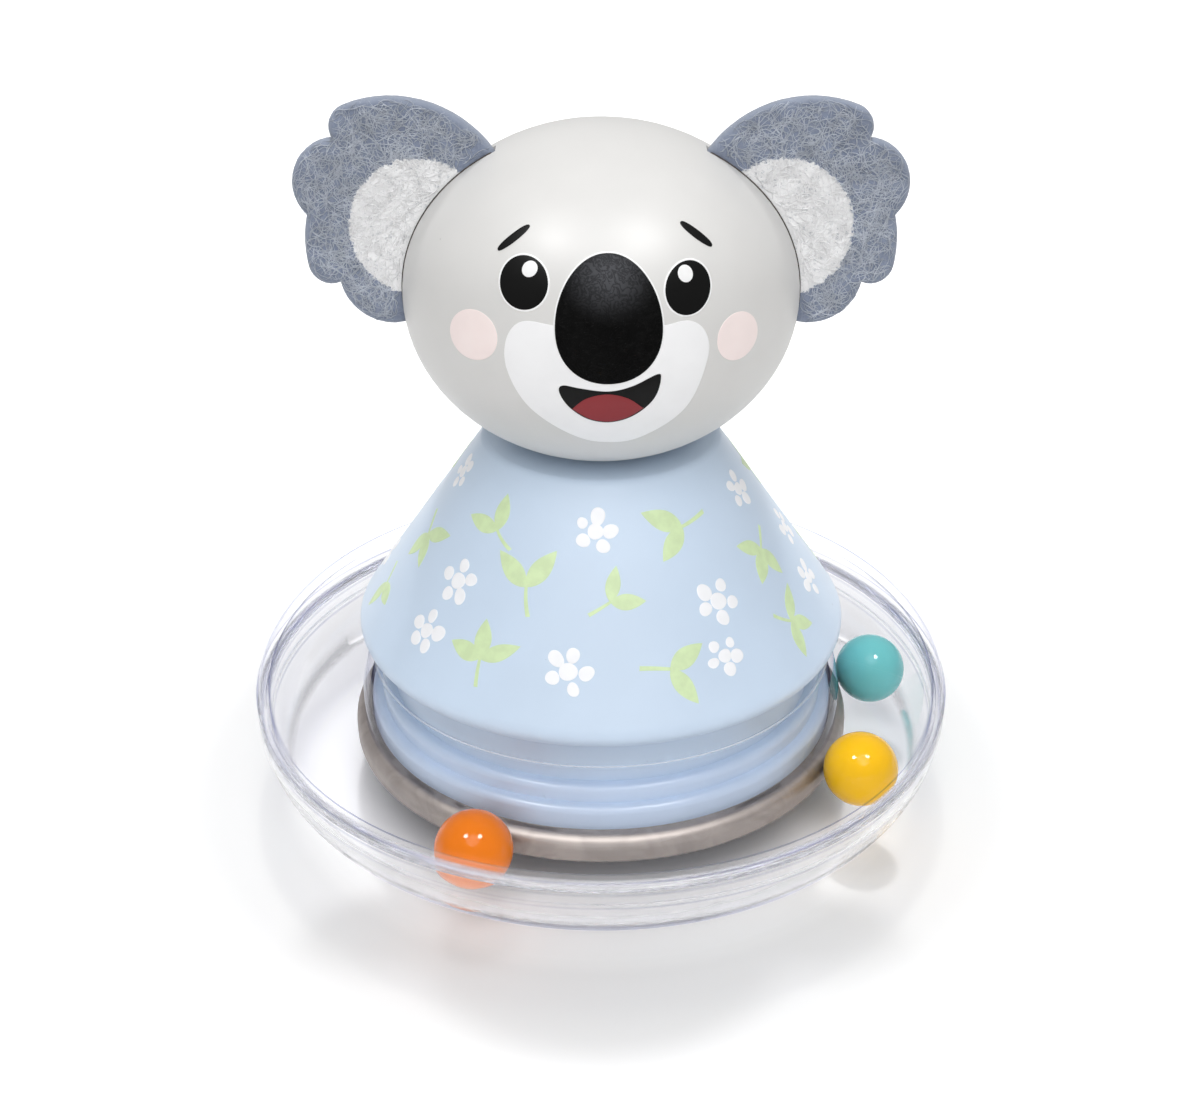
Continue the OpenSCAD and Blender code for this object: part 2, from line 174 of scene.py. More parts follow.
class ToyStage(bpy.types.PropertyGroup):
    """Camera, floor and lights."""

    look: FloatVectorProperty(
        name="Look at", description="Point in the middle of the picture", subtype="XYZ", unit="LENGTH",
        default=(-0.2 * MM, 0, 52.4 * MM)
    )
    distance: length("Distance", "Camera's distance from that point", 347.1)
    elevation: FloatProperty(
        name="Elevation", description="Camera's height above the horizon", subtype="ANGLE",
        default=math.radians(28.206)
    )
    lens: amount("Lens", "Focal length in millimetres, on a picture 36 mm wide", 50.26)
    floor: tint("Floor", "Pale floor", 240, 240, 240)
    # The floor shows darker near the toy, as painted shade round it, and brighter under the clear dish, as
    # painted light
    floor_shown: amount("Floor shown", "How much brighter it shows near the toy than it lights it", 1.02)
    floor_lit_under_dish: amount("Floor under the dish", "How much brighter still it shows under the clear dish", 0.34)
    floor_far: amount("Floor far off", "How much brighter the floor shows away from the toy", 1.4)
    sky: amount("Sky", "Strength of the light from all round", 0.34)
    mirrored_sky: amount("Mirrored sky", "Share of the white background that glossy surfaces mirror", 0.3)
    overhead: amount("Overhead", "Strength of the light from above", 0.5)
    rear: amount("Rear light", "Strength of the narrow light from behind", 0.65)
    fill: amount("Fill", "Strength of the wide light from the front", 1.3)
    key: amount("Key", "Strength of the main light, from high in front", 0.8)
    side_lamp: amount("Side lamps", "Power of each of the two small side lamps, in watts", 1.6)


class Tree:
    """A node tree, with short calls for its nodes and links."""

    def __init__(self, tree):
        self.nodes = tree.nodes
        self.links = tree.links

    def put(self, socket, value):
        """Links another node's output to a socket, or sets its value."""
        if isinstance(value, bpy.types.NodeSocket):
            self.links.new(value, socket)
            return
        if socket.type == "RGBA" and len(value) == 3:
            value = (*value, 1.0)
        socket.default_value = value

    def fill(self, node, sockets):
        """Links or sets several inputs of a node."""
        for key, value in sockets.items():
            self.put(node.inputs[key], value)

    def add(self, kind, sockets=None, **settings):
        """A new node with its settings and its inputs, which are named or numbered."""
        node = self.nodes.new(kind)
        for name, value in settings.items():
            setattr(node, name, value)
        self.fill(node, sockets or {})
        return node

    def place(self):
        """The place on the piece, in the frame at rest."""
        return self.add("ShaderNodeTexCoord").outputs["Object"]

    def axes(self, vector):
        """The X, Y and Z of a vector."""
        return self.add("ShaderNodeSeparateXYZ", {0: vector}).outputs

    def math(self, operation, first, second=0.0, third=0.0, clamp=False):
        """One sum of numbers."""
        sockets = {0: first, 1: second, 2: third}
        return self.add("ShaderNodeMath", sockets, operation=operation, use_clamp=clamp).outputs[0]

    def line(self, value, by, plus):
        """A value times a number, plus another."""
        return self.math("MULTIPLY_ADD", value, by, plus)

    def length(self, vector):
        """How long a vector is."""
        return self.add("ShaderNodeVectorMath", {0: vector}, operation="LENGTH").outputs["Value"]

    def reach(self, place):
        """How far a place is from the toy's axis."""
        return self.length(self.stretched(place, (1.0, 1.0, 0.0)))

    def blend(self, share, first, second):
        """A surface between two."""
        return self.add("ShaderNodeMixShader", {0: share, 1: first, 2: second}).outputs[0]

    def scaled(self, vector, by):
        """A vector or colour times a number."""
        return self.add("ShaderNodeVectorMath", {0: vector, "Scale": by}, operation="SCALE").outputs[0]

    def stretched(self, vector, by):
        """A vector times another, axis by axis."""
        return self.add("ShaderNodeVectorMath", {0: vector, 1: by}, operation="MULTIPLY").outputs[0]

    def mix(self, share, first, second):
        """A colour between two."""
        return self.add("ShaderNodeMix", {0: share, 6: first, 7: second}, data_type="RGBA").outputs[2]

    def noise(self, place, scale, detail=2.0, distortion=0.0):
        """Soft noise from 0 to 1."""
        sockets = {"Vector": place, "Scale": scale, "Detail": detail, "Distortion": distortion}
        return self.add("ShaderNodeTexNoise", sockets).outputs["Fac"]

    def ramp(self, value, low, high, to_low=0.0, to_high=1.0):
        """A smooth rise from one number to another as a value goes from low to high."""
        sockets = {"Value": value, "From Min": low, "From Max": high, "To Min": to_low, "To Max": to_high}
        return self.add("ShaderNodeMapRange", sockets, interpolation_type="SMOOTHSTEP").outputs["Result"]

    def group(self, tree, sockets):
        """One of the shared groups, with its own values."""
        return self.add("ShaderNodeGroup", sockets, node_tree=tree).outputs

    def bump(self, height, distance):
        """A normal from a height between 0 and 1 and the depth that it stands for."""
        sockets = {"Height": height, "Distance": distance, "Strength": 1.0}
        return self.add("ShaderNodeBump", sockets).outputs["Normal"]


def shader_group(name, inputs, outputs):
    """A new group: its tree, short calls for it, and the sockets to read from and write to."""
    tree = bpy.data.node_groups.new(name, "ShaderNodeTree")
    kinds = {"color": "NodeSocketColor", "number": "NodeSocketFloat"}
    for label, kind in inputs:
        tree.interface.new_socket(label, in_out="INPUT", socket_type=kinds[kind])
    for label, kind in outputs:
        tree.interface.new_socket(label, in_out="OUTPUT", socket_type=kinds[kind])
    calls = Tree(tree)
    return tree, calls, calls.add("NodeGroupInput").outputs, calls.add("NodeGroupOutput").inputs


def skin_group():
    """Slight shades, orange peel, uneven gloss and dust specks of a painted or moulded surface."""
    name = "Skin"
    if name in bpy.data.node_groups:
        return bpy.data.node_groups[name]
    tree, t, given, result = shader_group(
        name,
        [("Color", "color"), ("Shade", "number"), ("Broad Scale", "number"), ("Peel Scale", "number"),
         ("Roughness", "number"), ("Spread", "number"), ("Specks", "number")],
        [("Color", "color"), ("Roughness", "number"), ("Height", "number")],
    )
    place = t.place()
    broad = t.ramp(t.noise(place, given["Broad Scale"], 3.0), 0.3, 0.7, -1.0, 1.0)
    bright = t.line(broad, given["Shade"], 1.0)
    # Dust specks: small dots in about one cell of five, sized as shares of a cell
    cells_per_metre = 210.0
    dot_from, dot_to = 0.022, 0.045
    cells = t.add("ShaderNodeTexVoronoi", {"Vector": place, "Scale": cells_per_metre})
    chosen = t.ramp(t.axes(cells.outputs["Color"])[0], 0.80, 0.82)
    dot = t.math("MULTIPLY", t.ramp(cells.outputs["Distance"], dot_from, dot_to, 1.0, 0.0), chosen)
    dark = t.math("MULTIPLY", dot, given["Specks"])
    kept = t.math("SUBTRACT", 1.0, dark)
    t.put(result["Color"], t.scaled(given["Color"], t.math("MULTIPLY", bright, kept)))
    uneven = t.math("SUBTRACT", t.noise(place, t.math("MULTIPLY", given["Broad Scale"], 4.0), 3.0), 0.5)
    t.put(result["Roughness"], t.line(uneven, given["Spread"], given["Roughness"]))
    t.put(result["Height"], t.noise(place, given["Peel Scale"], 2.0))
    return tree


def turned_group():
    """Fine rings that a lathe or a polishing wheel leaves on metal about the axis."""
    name = "Turned rings"
    if name in bpy.data.node_groups:
        return bpy.data.node_groups[name]
    tree, t, given, result = shader_group(
        name,
        [("Scale", "number"), ("Roughness", "number"), ("Spread", "number")],
        [("Roughness", "number"), ("Height", "number"), ("Shade", "number")],
    )
    place = t.place()
    clouds_per_metre = 160.0
    sockets = {"W": t.reach(place), "Scale": given["Scale"], "Detail": 4.0}
    rings = t.add("ShaderNodeTexNoise", sockets, noise_dimensions="1D").outputs["Fac"]
    uneven = t.math("SUBTRACT", rings, 0.5)
    t.put(result["Roughness"], t.line(uneven, given["Spread"], given["Roughness"]))
    t.put(result["Height"], rings)
    t.put(result["Shade"], t.noise(place, clouds_per_metre, 4.0, 1.5))
    return tree


def felt_group():
    """Colours of the felt: wool, paler cut edge, and the white print in the middle of the front."""
    name = "Felt colours"
    if name in bpy.data.node_groups:
        return bpy.data.node_groups[name]
    tree, t, given, result = shader_group(
        name,
        [("Wool", "color"), ("Rim", "color"), ("Print", "color"), ("Speck", "color"), ("Radius", "number"),
         ("Fuzz", "number"), ("Edge", "number")],
        [("Color", "color"), ("Matting", "number")],
    )
    place = t.place()
    x, y, z = t.axes(place)
    aside = t.math("SUBTRACT", t.math("ABSOLUTE", x), EAR_MIDDLE[0])
    above = t.math("SUBTRACT", z, EAR_MIDDLE[1])
    far = t.math("SQRT", t.math("ADD", t.math("MULTIPLY", aside, aside), t.math("MULTIPLY", above, above)))
    tufts_per_metre, clumps_per_metre = 1500.0, 320.0
    streaks_per_metre = (260.0, 900.0, 2600.0)
    # How deep the print reaches in from the ear's front, and how soft its edge is
    print_depth = (-0.9 * MM, -0.2 * MM)
    print_edge = (-0.15 * MM, 0.2 * MM)
    fuzz = t.math("MULTIPLY", t.math("SUBTRACT", t.noise(place, tufts_per_metre, 3.0), 0.5), given["Fuzz"])
    inside = t.math("SUBTRACT", given["Radius"], t.math("ADD", far, fuzz))
    front = t.ramp(y, *print_depth, 1.0, 0.0)
    printed = t.math("MULTIPLY", t.ramp(inside, *print_edge), front)
    # Matted wool: streaks in three directions, the strongest of which shows
    streaks = []
    for angle, shift in ((0.4, 3.1), (1.5, 7.7), (2.6, 12.3)):
        rotated = t.add("ShaderNodeVectorRotate", {"Vector": place, "Axis": (0, 1, 0), "Angle": angle})
        sockets = {0: rotated.outputs[0], 1: (shift, 0, shift)}
        moved = t.add("ShaderNodeVectorMath", sockets, operation="ADD").outputs[0]
        streaks.append(t.noise(t.stretched(moved, streaks_per_metre), 1.0, 3.0, 0.9))
    matting = t.math("MAXIMUM", streaks[0], t.math("MAXIMUM", streaks[1], streaks[2]))
    # Pale streaks and clumps in the wool, its paler cut edge, and the wool that shows through the print
    streaked, cut_edge, bare = 0.55, 0.75, 0.9
    darkest, brightest = 0.84, 1.08
    light = t.math("MULTIPLY", t.ramp(matting, 0.45, 0.75), streaked)
    clumps = t.ramp(t.noise(place, clumps_per_metre, 4.0), 0.3, 0.7, darkest, brightest)
    wool = t.mix(light, t.scaled(given["Wool"], clumps), given["Rim"])
    wool = t.mix(t.math("MULTIPLY", given["Edge"], cut_edge), wool, given["Rim"])
    shows = t.ramp(matting, 0.52, 0.40, 0.0, bare)
    t.put(result["Color"], t.mix(printed, wool, t.mix(shows, given["Print"], given["Speck"])))
    t.put(result["Matting"], matting)
    return tree


def material(name):
    """A new material with a Principled shader: the material, short calls for its nodes, and the shader."""
    made = bpy.data.materials.new(name)
    made.use_nodes = True
    t = Tree(made.node_tree)
    return made, t, made.node_tree.nodes["Principled BSDF"]


def skin_material(name, color, roughness, broad, peel=1500.0, depth=0.010 * MM, shade=0.02, spread=0.1,
                  specks=0.0, gloss=0.5):
    """A painted, printed or moulded finish. Broad and peel are shades and ripples per metre."""
    made, t, shader = material(name)
    skin = t.group(skin_group(), {
        "Color": color, "Shade": shade, "Broad Scale": broad, "Peel Scale": peel, "Roughness": roughness,
        "Spread": spread, "Specks": specks
    })
    t.fill(shader, {
        "Base Color": skin["Color"], "Roughness": skin["Roughness"], "Normal": t.bump(skin["Height"], depth),
        "Specular IOR Level": gloss
    })
    return made


def dress(node, made, sharp_from=32):
    """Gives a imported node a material, and shades its narrow bands as the one round surface they stand for.

    An edge stays sharp from some angle in degrees.
    """
    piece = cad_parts[node]
    piece.data.materials.clear()
    piece.data.materials.append(made)
    even = piece.modifiers.new("Even shading", "NODES")
    even.node_group = even_shading(sharp_from)
    weighted = piece.modifiers.new("Flat faces", "WEIGHTED_NORMAL")
    weighted.keep_sharp = True


def even_shading(sharp_from):
    """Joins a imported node's faces, and keeps only its true edges sharp."""
    name = f"Even shading {sharp_from}"
    if name in bpy.data.node_groups:
        return bpy.data.node_groups[name]
    joined_within = 0.001 * MM
    tree = bpy.data.node_groups.new(name, "GeometryNodeTree")
    for way in ("INPUT", "OUTPUT"):
        tree.interface.new_socket("Geometry", in_out=way, socket_type="NodeSocketGeometry")
    t = Tree(tree)
    given = t.add("NodeGroupInput").outputs["Geometry"]
    joined = t.add("GeometryNodeMergeByDistance", {"Geometry": given, "Distance": joined_within})
    angle = t.add("GeometryNodeInputMeshEdgeAngle").outputs["Unsigned Angle"]
    sharp = t.add("FunctionNodeCompare", {0: angle, 1: math.radians(sharp_from)}, operation="GREATER_THAN")
    sockets = {"Mesh": joined.outputs[0], "Remove Custom": True, "Edge Sharpness": sharp.outputs[0]}
    shaded = t.add("GeometryNodeSetMeshNormal", sockets, mode="SHARPNESS")
    t.put(t.add("NodeGroupOutput").inputs["Geometry"], shaded.outputs[0])
    return tree


def linked(name, data):
    """A new object in the scene."""
    piece = bpy.data.objects.new(name, data)
    bpy.context.scene.collection.objects.link(piece)
    return piece


def between(first, second, share):
    """The flat place some share of the way from one to another."""
    return first[0] + share * (second[0] - first[0]), first[1] + share * (second[1] - first[1])


def turned(along, across, turn, middle=(0.0, 0.0)):
    """The flat place so far along and across a line that leaves a middle at some turn."""
    c, s = math.cos(turn), math.sin(turn)
    return middle[0] + along * c - across * s, middle[1] + along * s + across * c


def in_metres(points):
    """Flat places that were given in millimetres."""
    return [(x * MM, y * MM) for x, y in points]


class Maker:
    """Collects the points and faces of one piece."""

    # A film of print: how deep its edge is sunk, the widest share of it that its rim may take, and the rim's
    # rounding, as shares of the rim's width, from the edge, and of the film's height
    sunk = -0.12 * MM
    widest_rim = 0.3
    rounded_rim = ((0.45, 0.93), (0.12, 0.66), (0.0, 0.15))
    # A strand's thickness at its ends, as a share of its full one
    strand_end = 0.45

    def __init__(self):
        self.points = []
        self.faces = []

    def ring(self, places):
        """Adds a ring of points and gives back their numbers."""
        first = len(self.points)
        self.points.extend(places)
        return list(range(first, len(self.points)))

    def bridge(self, one, other):
        """Joins two rings of the same count with faces."""
        count = len(one)
        for i in range(count):
            j = (i + 1) % count
            self.faces.append((one[i], one[j], other[j], other[i]))

    def film(self, outline, middle, surface, height, edge=0.18 * MM, rings=6):
        """A closed skin of print. surface(u, v, lift) puts a point of its flat outline on what carries it."""
        reach = sum(math.dist(p, middle) for p in outline) / len(outline)
        rim = min(self.widest_rim, edge / reach)
        steps = [((1 - rim) * (i + 1) / rings, height) for i in range(rings)]
        steps += [(1 - share * rim, part * height) for share, part in self.rounded_rim]
        steps.append((1.0, self.sunk))
        top = self.ring([surface(*middle, height)])[0]
        last = None
        for share, lift in steps:
            now = self.ring([surface(*between(middle, spot, share), lift) for spot in outline])
            if last is None:
                count = len(now)
                self.faces.extend((top, now[i], now[(i + 1) % count]) for i in range(count))
            else:
                self.bridge(last, now)
            last = now
        base = self.ring([surface(*middle, self.sunk)])[0]
        count = len(last)
        self.faces.extend((base, last[(i + 1) % count], last[i]) for i in range(count))

    def strand(self, path, radius, sides=3):
        """A thin closed tube that tapers to its ends, along a path of points."""
        last = None
        count = len(path)
        for i, spot in enumerate(path):
            ahead = path[min(i + 1, count - 1)] - path[max(i - 1, 0)]
            side = ahead.cross(Vector((0, 1, 0)))
            if side.length < TINY:
                side = Vector((1, 0, 0))
            side.normalize()
            up = side.cross(ahead).normalized()
            thick = radius * (self.strand_end if i in (0, count - 1) else 1.0)
            turns = [2 * math.pi * k / sides for k in range(sides)]
            now = self.ring([spot + thick * (math.cos(a) * side + math.sin(a) * up) for a in turns])
            if last is None:
                self.faces.append(tuple(reversed(now)))
            else:
                self.bridge(last, now)
            last = now
        self.faces.append(tuple(last))

    def make(self, name, made, slot):
        """The piece itself: one smooth mesh that rides on the toy's body."""
        mesh = bpy.data.meshes.new(name)
        mesh.from_pydata([tuple(p) for p in self.points], [], self.faces)
        work = bmesh.new()
        work.from_mesh(mesh)
        bmesh.ops.recalc_face_normals(work, faces=work.faces)
        work.to_mesh(mesh)
        work.free()
        mesh.shade_smooth()
        mesh.materials.append(made)
        piece = linked(name, mesh)
        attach(piece, BODY)
        return piece


def on_head(x, rise, lift):
    """The point on the front of the head's oval at a place across and a height above its middle."""
    depth = 1 - (x / HEAD_WIDE) ** 2 - (rise / HEAD_TALL) ** 2
    y = -HEAD_WIDE * math.sqrt(max(depth, 0.0))
    out = Vector((x / HEAD_WIDE**2, y / HEAD_WIDE**2, rise / HEAD_TALL**2)).normalized()
    return Vector((x, y, HEAD_MIDDLE + rise)) + lift * out


def oval(middle, half_long, half_wide, tilt, count=72):
    """An ellipse whose long axis has a tilt in degrees. Sizes are in millimetres."""
    points = []
    for i in range(count):
        turn = 2 * math.pi * i / count
        along, across = half_long * math.cos(turn), half_wide * math.sin(turn)
        points.append(turned(along, across, math.radians(tilt), middle))
    return in_metres(points)


def egg(middle, half_wide, half_tall, fullness, taper, tilt, count=96):
    """An upright egg: a full ellipse, narrower towards its top by a taper. Sizes are in millimetres."""
    points = []
    for i in range(count):
        turn = 2 * math.pi * i / count
        up = math.copysign(abs(math.sin(turn)) ** (2 / fullness), math.sin(turn))
        aside = math.copysign(abs(math.cos(turn)) ** (2 / fullness), math.cos(turn)) * (1 - taper * up)
        points.append(turned(half_wide * aside, half_tall * up, math.radians(tilt), middle))
    return in_metres(points)


def smooth_loop(corners, steps=8):
    """A round closed curve through a few points, which are given clockwise and in millimetres."""
    corners = list(reversed(corners))
    points = []
    count = len(corners)
    for i in range(count):
        p0, p1, p2, p3 = (corners[(i + k - 1) % count] for k in range(4))
        for k in range(steps):
            s = k / steps
            spot = []
            for axis in range(2):
                a, b, c, d = p0[axis], p1[axis], p2[axis], p3[axis]
                value = b + 0.5 * s * (c - a + s * (2 * a - 5 * b + 4 * c - d + s * (3 * (b - c) + d - a)))
                spot.append(value)
            points.append(tuple(spot))
    return in_metres(points)


def centre_of(outline):
    """The middle of an outline's points."""
    return tuple(sum(p[axis] for p in outline) / len(outline) for axis in range(2))


def grown(outline, by):
    """An outline moved outwards by some amount."""
    count = len(outline)
    moved = []
    for i, (x, z) in enumerate(outline):
        before, after = outline[i - 1], outline[(i + 1) % count]
        along = Vector((after[0] - before[0], after[1] - before[1])).normalized()
        moved.append((x + by * along.y, z - by * along.x))
    return moved


# The face's printed shapes, in millimetres across the head and above its middle
NOSE = {
    "middle": (1.27, 6.79), "half_wide": 9.2, "half_tall": 10.77, "fullness": 2.08, "taper": 0.1, "tilt": 2.8,
}
# Ovals: middle, half length, half width and tilt in degrees
EYES = [((-13.2, 12.4), 4.4, 3.98, 42.0), ((14.86, 11.4), 4.25, 3.95, 110.0)]
SHINES = [((-12.17, 14.63), 1.5, 1.15, 33.3), ((14.38, 13.69), 1.5, 1.2, 134.1)]
CHEEKS = [((-22.35, 2.21), 4.71, 4.18, 54.1), ((24.01, 1.51), 4.39, 3.75, 102.1)]
# Rounded outlines, by a few points each
MUZZLE = [
    (15.3, 6.25), (18.2, 3.6), (18.5, -1.3), (14.9, -10.64), (7.0, -16.75), (1.1, -17.75), (-4.65, -16.15),
    (-12.54, -10.1), (-16.4, -2.8), (-16.4, 3.0), (-13.6, 6.35), (-7.85, 6.25), (1.2, 5.4), (10.4, 6.0),
]
MOUTH = [
    (9.75, -2.5), (10.4, -3.6), (9.6, -6.84), (7.6, -9.45), (4.6, -11.5), (1.24, -12.3), (-2.2, -11.6),
    (-5.0, -9.6), (-6.7, -7.4), (-7.4, -5.3), (-6.5, -4.4), (-3.6, -4.85), (1.3, -5.4), (5.4, -4.5),
]
TONGUE = [
    (7.3, -9.4), (4.5, -11.3), (1.24, -12.1), (-2.1, -11.4), (-4.85, -9.5), (-5.0, -9.15), (-2.6, -6.9),
    (1.1, -5.95), (4.7, -6.95), (7.2, -9.1),
]
# Brows: middle and tilt in degrees of each, and the length, upper arch, lower belly and fullness of both
BROWS = [((-15.05, 18.6), 36.4), ((16.4, 18.9), -36.1)]
BROW_LONG = 6.9
BROW_ARCH = 0.62
BROW_BELLY = 0.46
BROW_FULLNESS = 0.8


def brow(middle, tilt, count=40):
    """A slim leaf with an arched upper edge and a flatter lower one, in millimetres."""
    points = []
    for i in range(count):
        turn = 2 * math.pi * i / count
        along = 0.5 * BROW_LONG * math.cos(turn)
        full = abs(math.sin(turn)) ** BROW_FULLNESS
        across = full * (BROW_ARCH if math.sin(turn) > 0 else -BROW_BELLY)
        points.append(turned(along, across, math.radians(tilt), middle))
    return in_metres(points)


class ROLY_OT_head(bpy.types.Operator):
    """Satin paint on the head"""

    bl_idname = "roly.head"
    bl_label = "Head"

    def execute(self, context):
        paint = context.scene.roly_paint
        dress("head", skin_material(
            "Head paint", paint.head, roughness=0.42, broad=55.0, peel=1300.0, shade=0.018, specks=0.22
        ))
        return {"FINISHED"}


class ROLY_OT_face(bpy.types.Operator):
    """Printed face: muzzle, cheeks, nose, eyes, brows, mouth and tongue, in thin layers"""

    bl_idname = "roly.face"
    bl_label = "Face"

    # How high each print stands, in layers of film, and how many rings of faces it has
    prints = {
        "face_muzzle": (1.0, 12), "face_cheeks": (1.0, 6), "face_border": (1.5, 8), "face_black": (2.0, 6),
        "face_nose": (2.6, 10), "face_tongue": (2.4, 6), "face_shines": (2.6, 4),
    }

    def execute(self, context):
        paint = context.scene.roly_paint
        nose = egg(**NOSE)
        mouth = smooth_loop(MOUTH)
        eyes = [oval(*eye) for eye in EYES]
        shapes = {
            "face_muzzle": [smooth_loop(MUZZLE)],
            "face_cheeks": [oval(*cheek) for cheek in CHEEKS],
            "face_border": [grown(shape, paint.border_width) for shape in [*eyes, mouth, nose]],
            "face_black": [*eyes, *[brow(*place) for place in BROWS], mouth],
            "face_nose": [nose],
            "face_tongue": [smooth_loop(TONGUE)],
            "face_shines": [oval(*shine) for shine in SHINES],
        }
        inks = {
            "face_muzzle": self.muzzle_ink(paint),
            "face_cheeks": self.flat_ink("Cheek print", paint.cheek),
            "face_border": self.flat_ink("White border print", paint.border),
            "face_black": self.flat_ink("Black print", paint.ink, roughness=0.34, gloss=0.14),
            "face_nose": self.nose_ink(paint),
            "face_tongue": self.flat_ink("Tongue print", paint.tongue),
            "face_shines": self.flat_ink("White eye print", paint.border),
        }
        for name, (layers, rings) in self.prints.items():
            maker = Maker()
            for outline in shapes[name]:
                maker.film(outline, centre_of(outline), on_head, layers * paint.film, rings=rings)
            maker.make(name, inks[name], "head_paint")
        return {"FINISHED"}

    def flat_ink(self, name, color, roughness=0.4, gloss=0.4):
        """Even satin ink."""
        return skin_material(name, color, roughness, broad=160.0, spread=0.08, specks=0.12, gloss=gloss)

    def muzzle_ink(self, paint):
        """Pale ink that lies a little thin."""
        return skin_material(
            "Muzzle print", paint.muzzle, roughness=0.46, broad=120.0, peel=1300.0, shade=0.022, specks=0.2
        )

    def nose_ink(self, paint):
        """Thick glossy ink, wrinkled like leather, with a painted highlight on its upper part."""
        wrinkles_per_metre, wrinkle_depth = 620.0, 0.08 * MM
        # The painted sheen: how far up the nose its middle is, as a share of the half height, and its reach
        sheen_up, sheen_reach = 0.75, 9.5 * MM
        made, t, shader = material("Nose print")
        place = t.place()
        swirl = t.noise(place, wrinkles_per_metre, 3.0, 2.2)
        ridge = t.math("ABSOLUTE", t.math("SUBTRACT", swirl, 0.5))
        crease = t.ramp(ridge, 0.0, 0.10)
        skin = t.group(skin_group(), {
            "Color": paint.ink, "Shade": 0.2, "Broad Scale": 160.0, "Peel Scale": 1600.0,
            "Roughness": 0.4, "Spread": 0.12, "Specks": 0.0
        })
        aside, up = NOSE["middle"]
        sheen_middle = on_head(aside * MM, (up + sheen_up * NOSE["half_tall"]) * MM, 0.0)
        away = t.add("ShaderNodeVectorMath", {0: place, 1: sheen_middle}, operation="DISTANCE").outputs["Value"]
        upper = t.ramp(away, 0.0, sheen_reach, 1.0, 0.0)
        # Painted sheen, weaker along the lines of the wrinkles
        sheen = t.math("MULTIPLY", upper, t.ramp(crease, 0.0, 1.0, 0.55, 1.0))
        t.fill(shader, {
            "Base Color": t.mix(sheen, skin["Color"], paint.sheen),
            "Roughness": skin["Roughness"],
            "Normal": t.bump(t.line(skin["Height"], 0.25, crease), wrinkle_depth),
            "Specular IOR Level": 0.05,
        })
        return made


def loop_of(node):
    """The outline of a flat upright node, as places across and heights, read from its front face."""
    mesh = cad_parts[node].data
    front = min(v.co.y for v in mesh.vertices)
    flat = 1e-6
    uses = {}
    for face in mesh.polygons:
        corners = list(face.vertices)
        if all(abs(mesh.vertices[i].co.y - front) < flat for i in corners):
            for a, b in zip(corners, corners[1:] + corners[:1]):
                uses.setdefault(tuple(sorted((a, b))), []).append((a, b))
    follows = dict(pairs[0] for pairs in uses.values() if len(pairs) == 1)
    start = next(iter(follows))
    loop = [start]
    while follows[loop[-1]] != start:
        loop.append(follows[loop[-1]])
    return [(mesh.vertices[i].co.x, mesh.vertices[i].co.z) for i in loop]


def subdivided(loop, step):
    """A closed outline with points no further apart than a step."""
    points = []
    for (x0, z0), (x1, z1) in zip(loop, loop[1:] + loop[:1]):
        count = max(1, math.ceil(math.hypot(x1 - x0, z1 - z0) / step))
        points.extend((x0 + (x1 - x0) * k / count, z0 + (z1 - z0) * k / count) for k in range(count))
    return points


class Outline:
    """A closed outline that can say how far a point lies inside it."""

    def __init__(self, points):
        self.points = np.array(points)
        self.after = np.roll(self.points, -1, axis=0)

    def inside(self, spots):
        """Distance to the outline for each spot, less than 0 outside it."""
        spots = np.array(spots)
        way = self.after - self.points
        away = spots[:, None, :] - self.points[None, :, :]
        share = np.clip((away * way).sum(2) / np.maximum((way * way).sum(1), TINY**2), 0, 1)
        gap = np.linalg.norm(away - share[:, :, None] * way, axis=2).min(1)
        z, z0, z1 = spots[:, None, 1], self.points[None, :, 1], self.after[None, :, 1]
        crosses = (z0 > z) != (z1 > z)
        rise = np.where(z1 == z0, 1.0, z1 - z0)
        x = self.points[None, :, 0] + (z - z0) / rise * way[None, :, 0]
        odd = (crosses & (spots[:, None, 0] < x)).sum(1) % 2 == 1
        return np.where(odd, gap, -gap)


def out_of_head(x, z, spare):
    """Whether a place in the plane of the ears is outside the head's oval by some amount."""
    return (x / (HEAD_WIDE + spare)) ** 2 + ((z - HEAD_MIDDLE) / (HEAD_TALL + spare)) ** 2 > 1


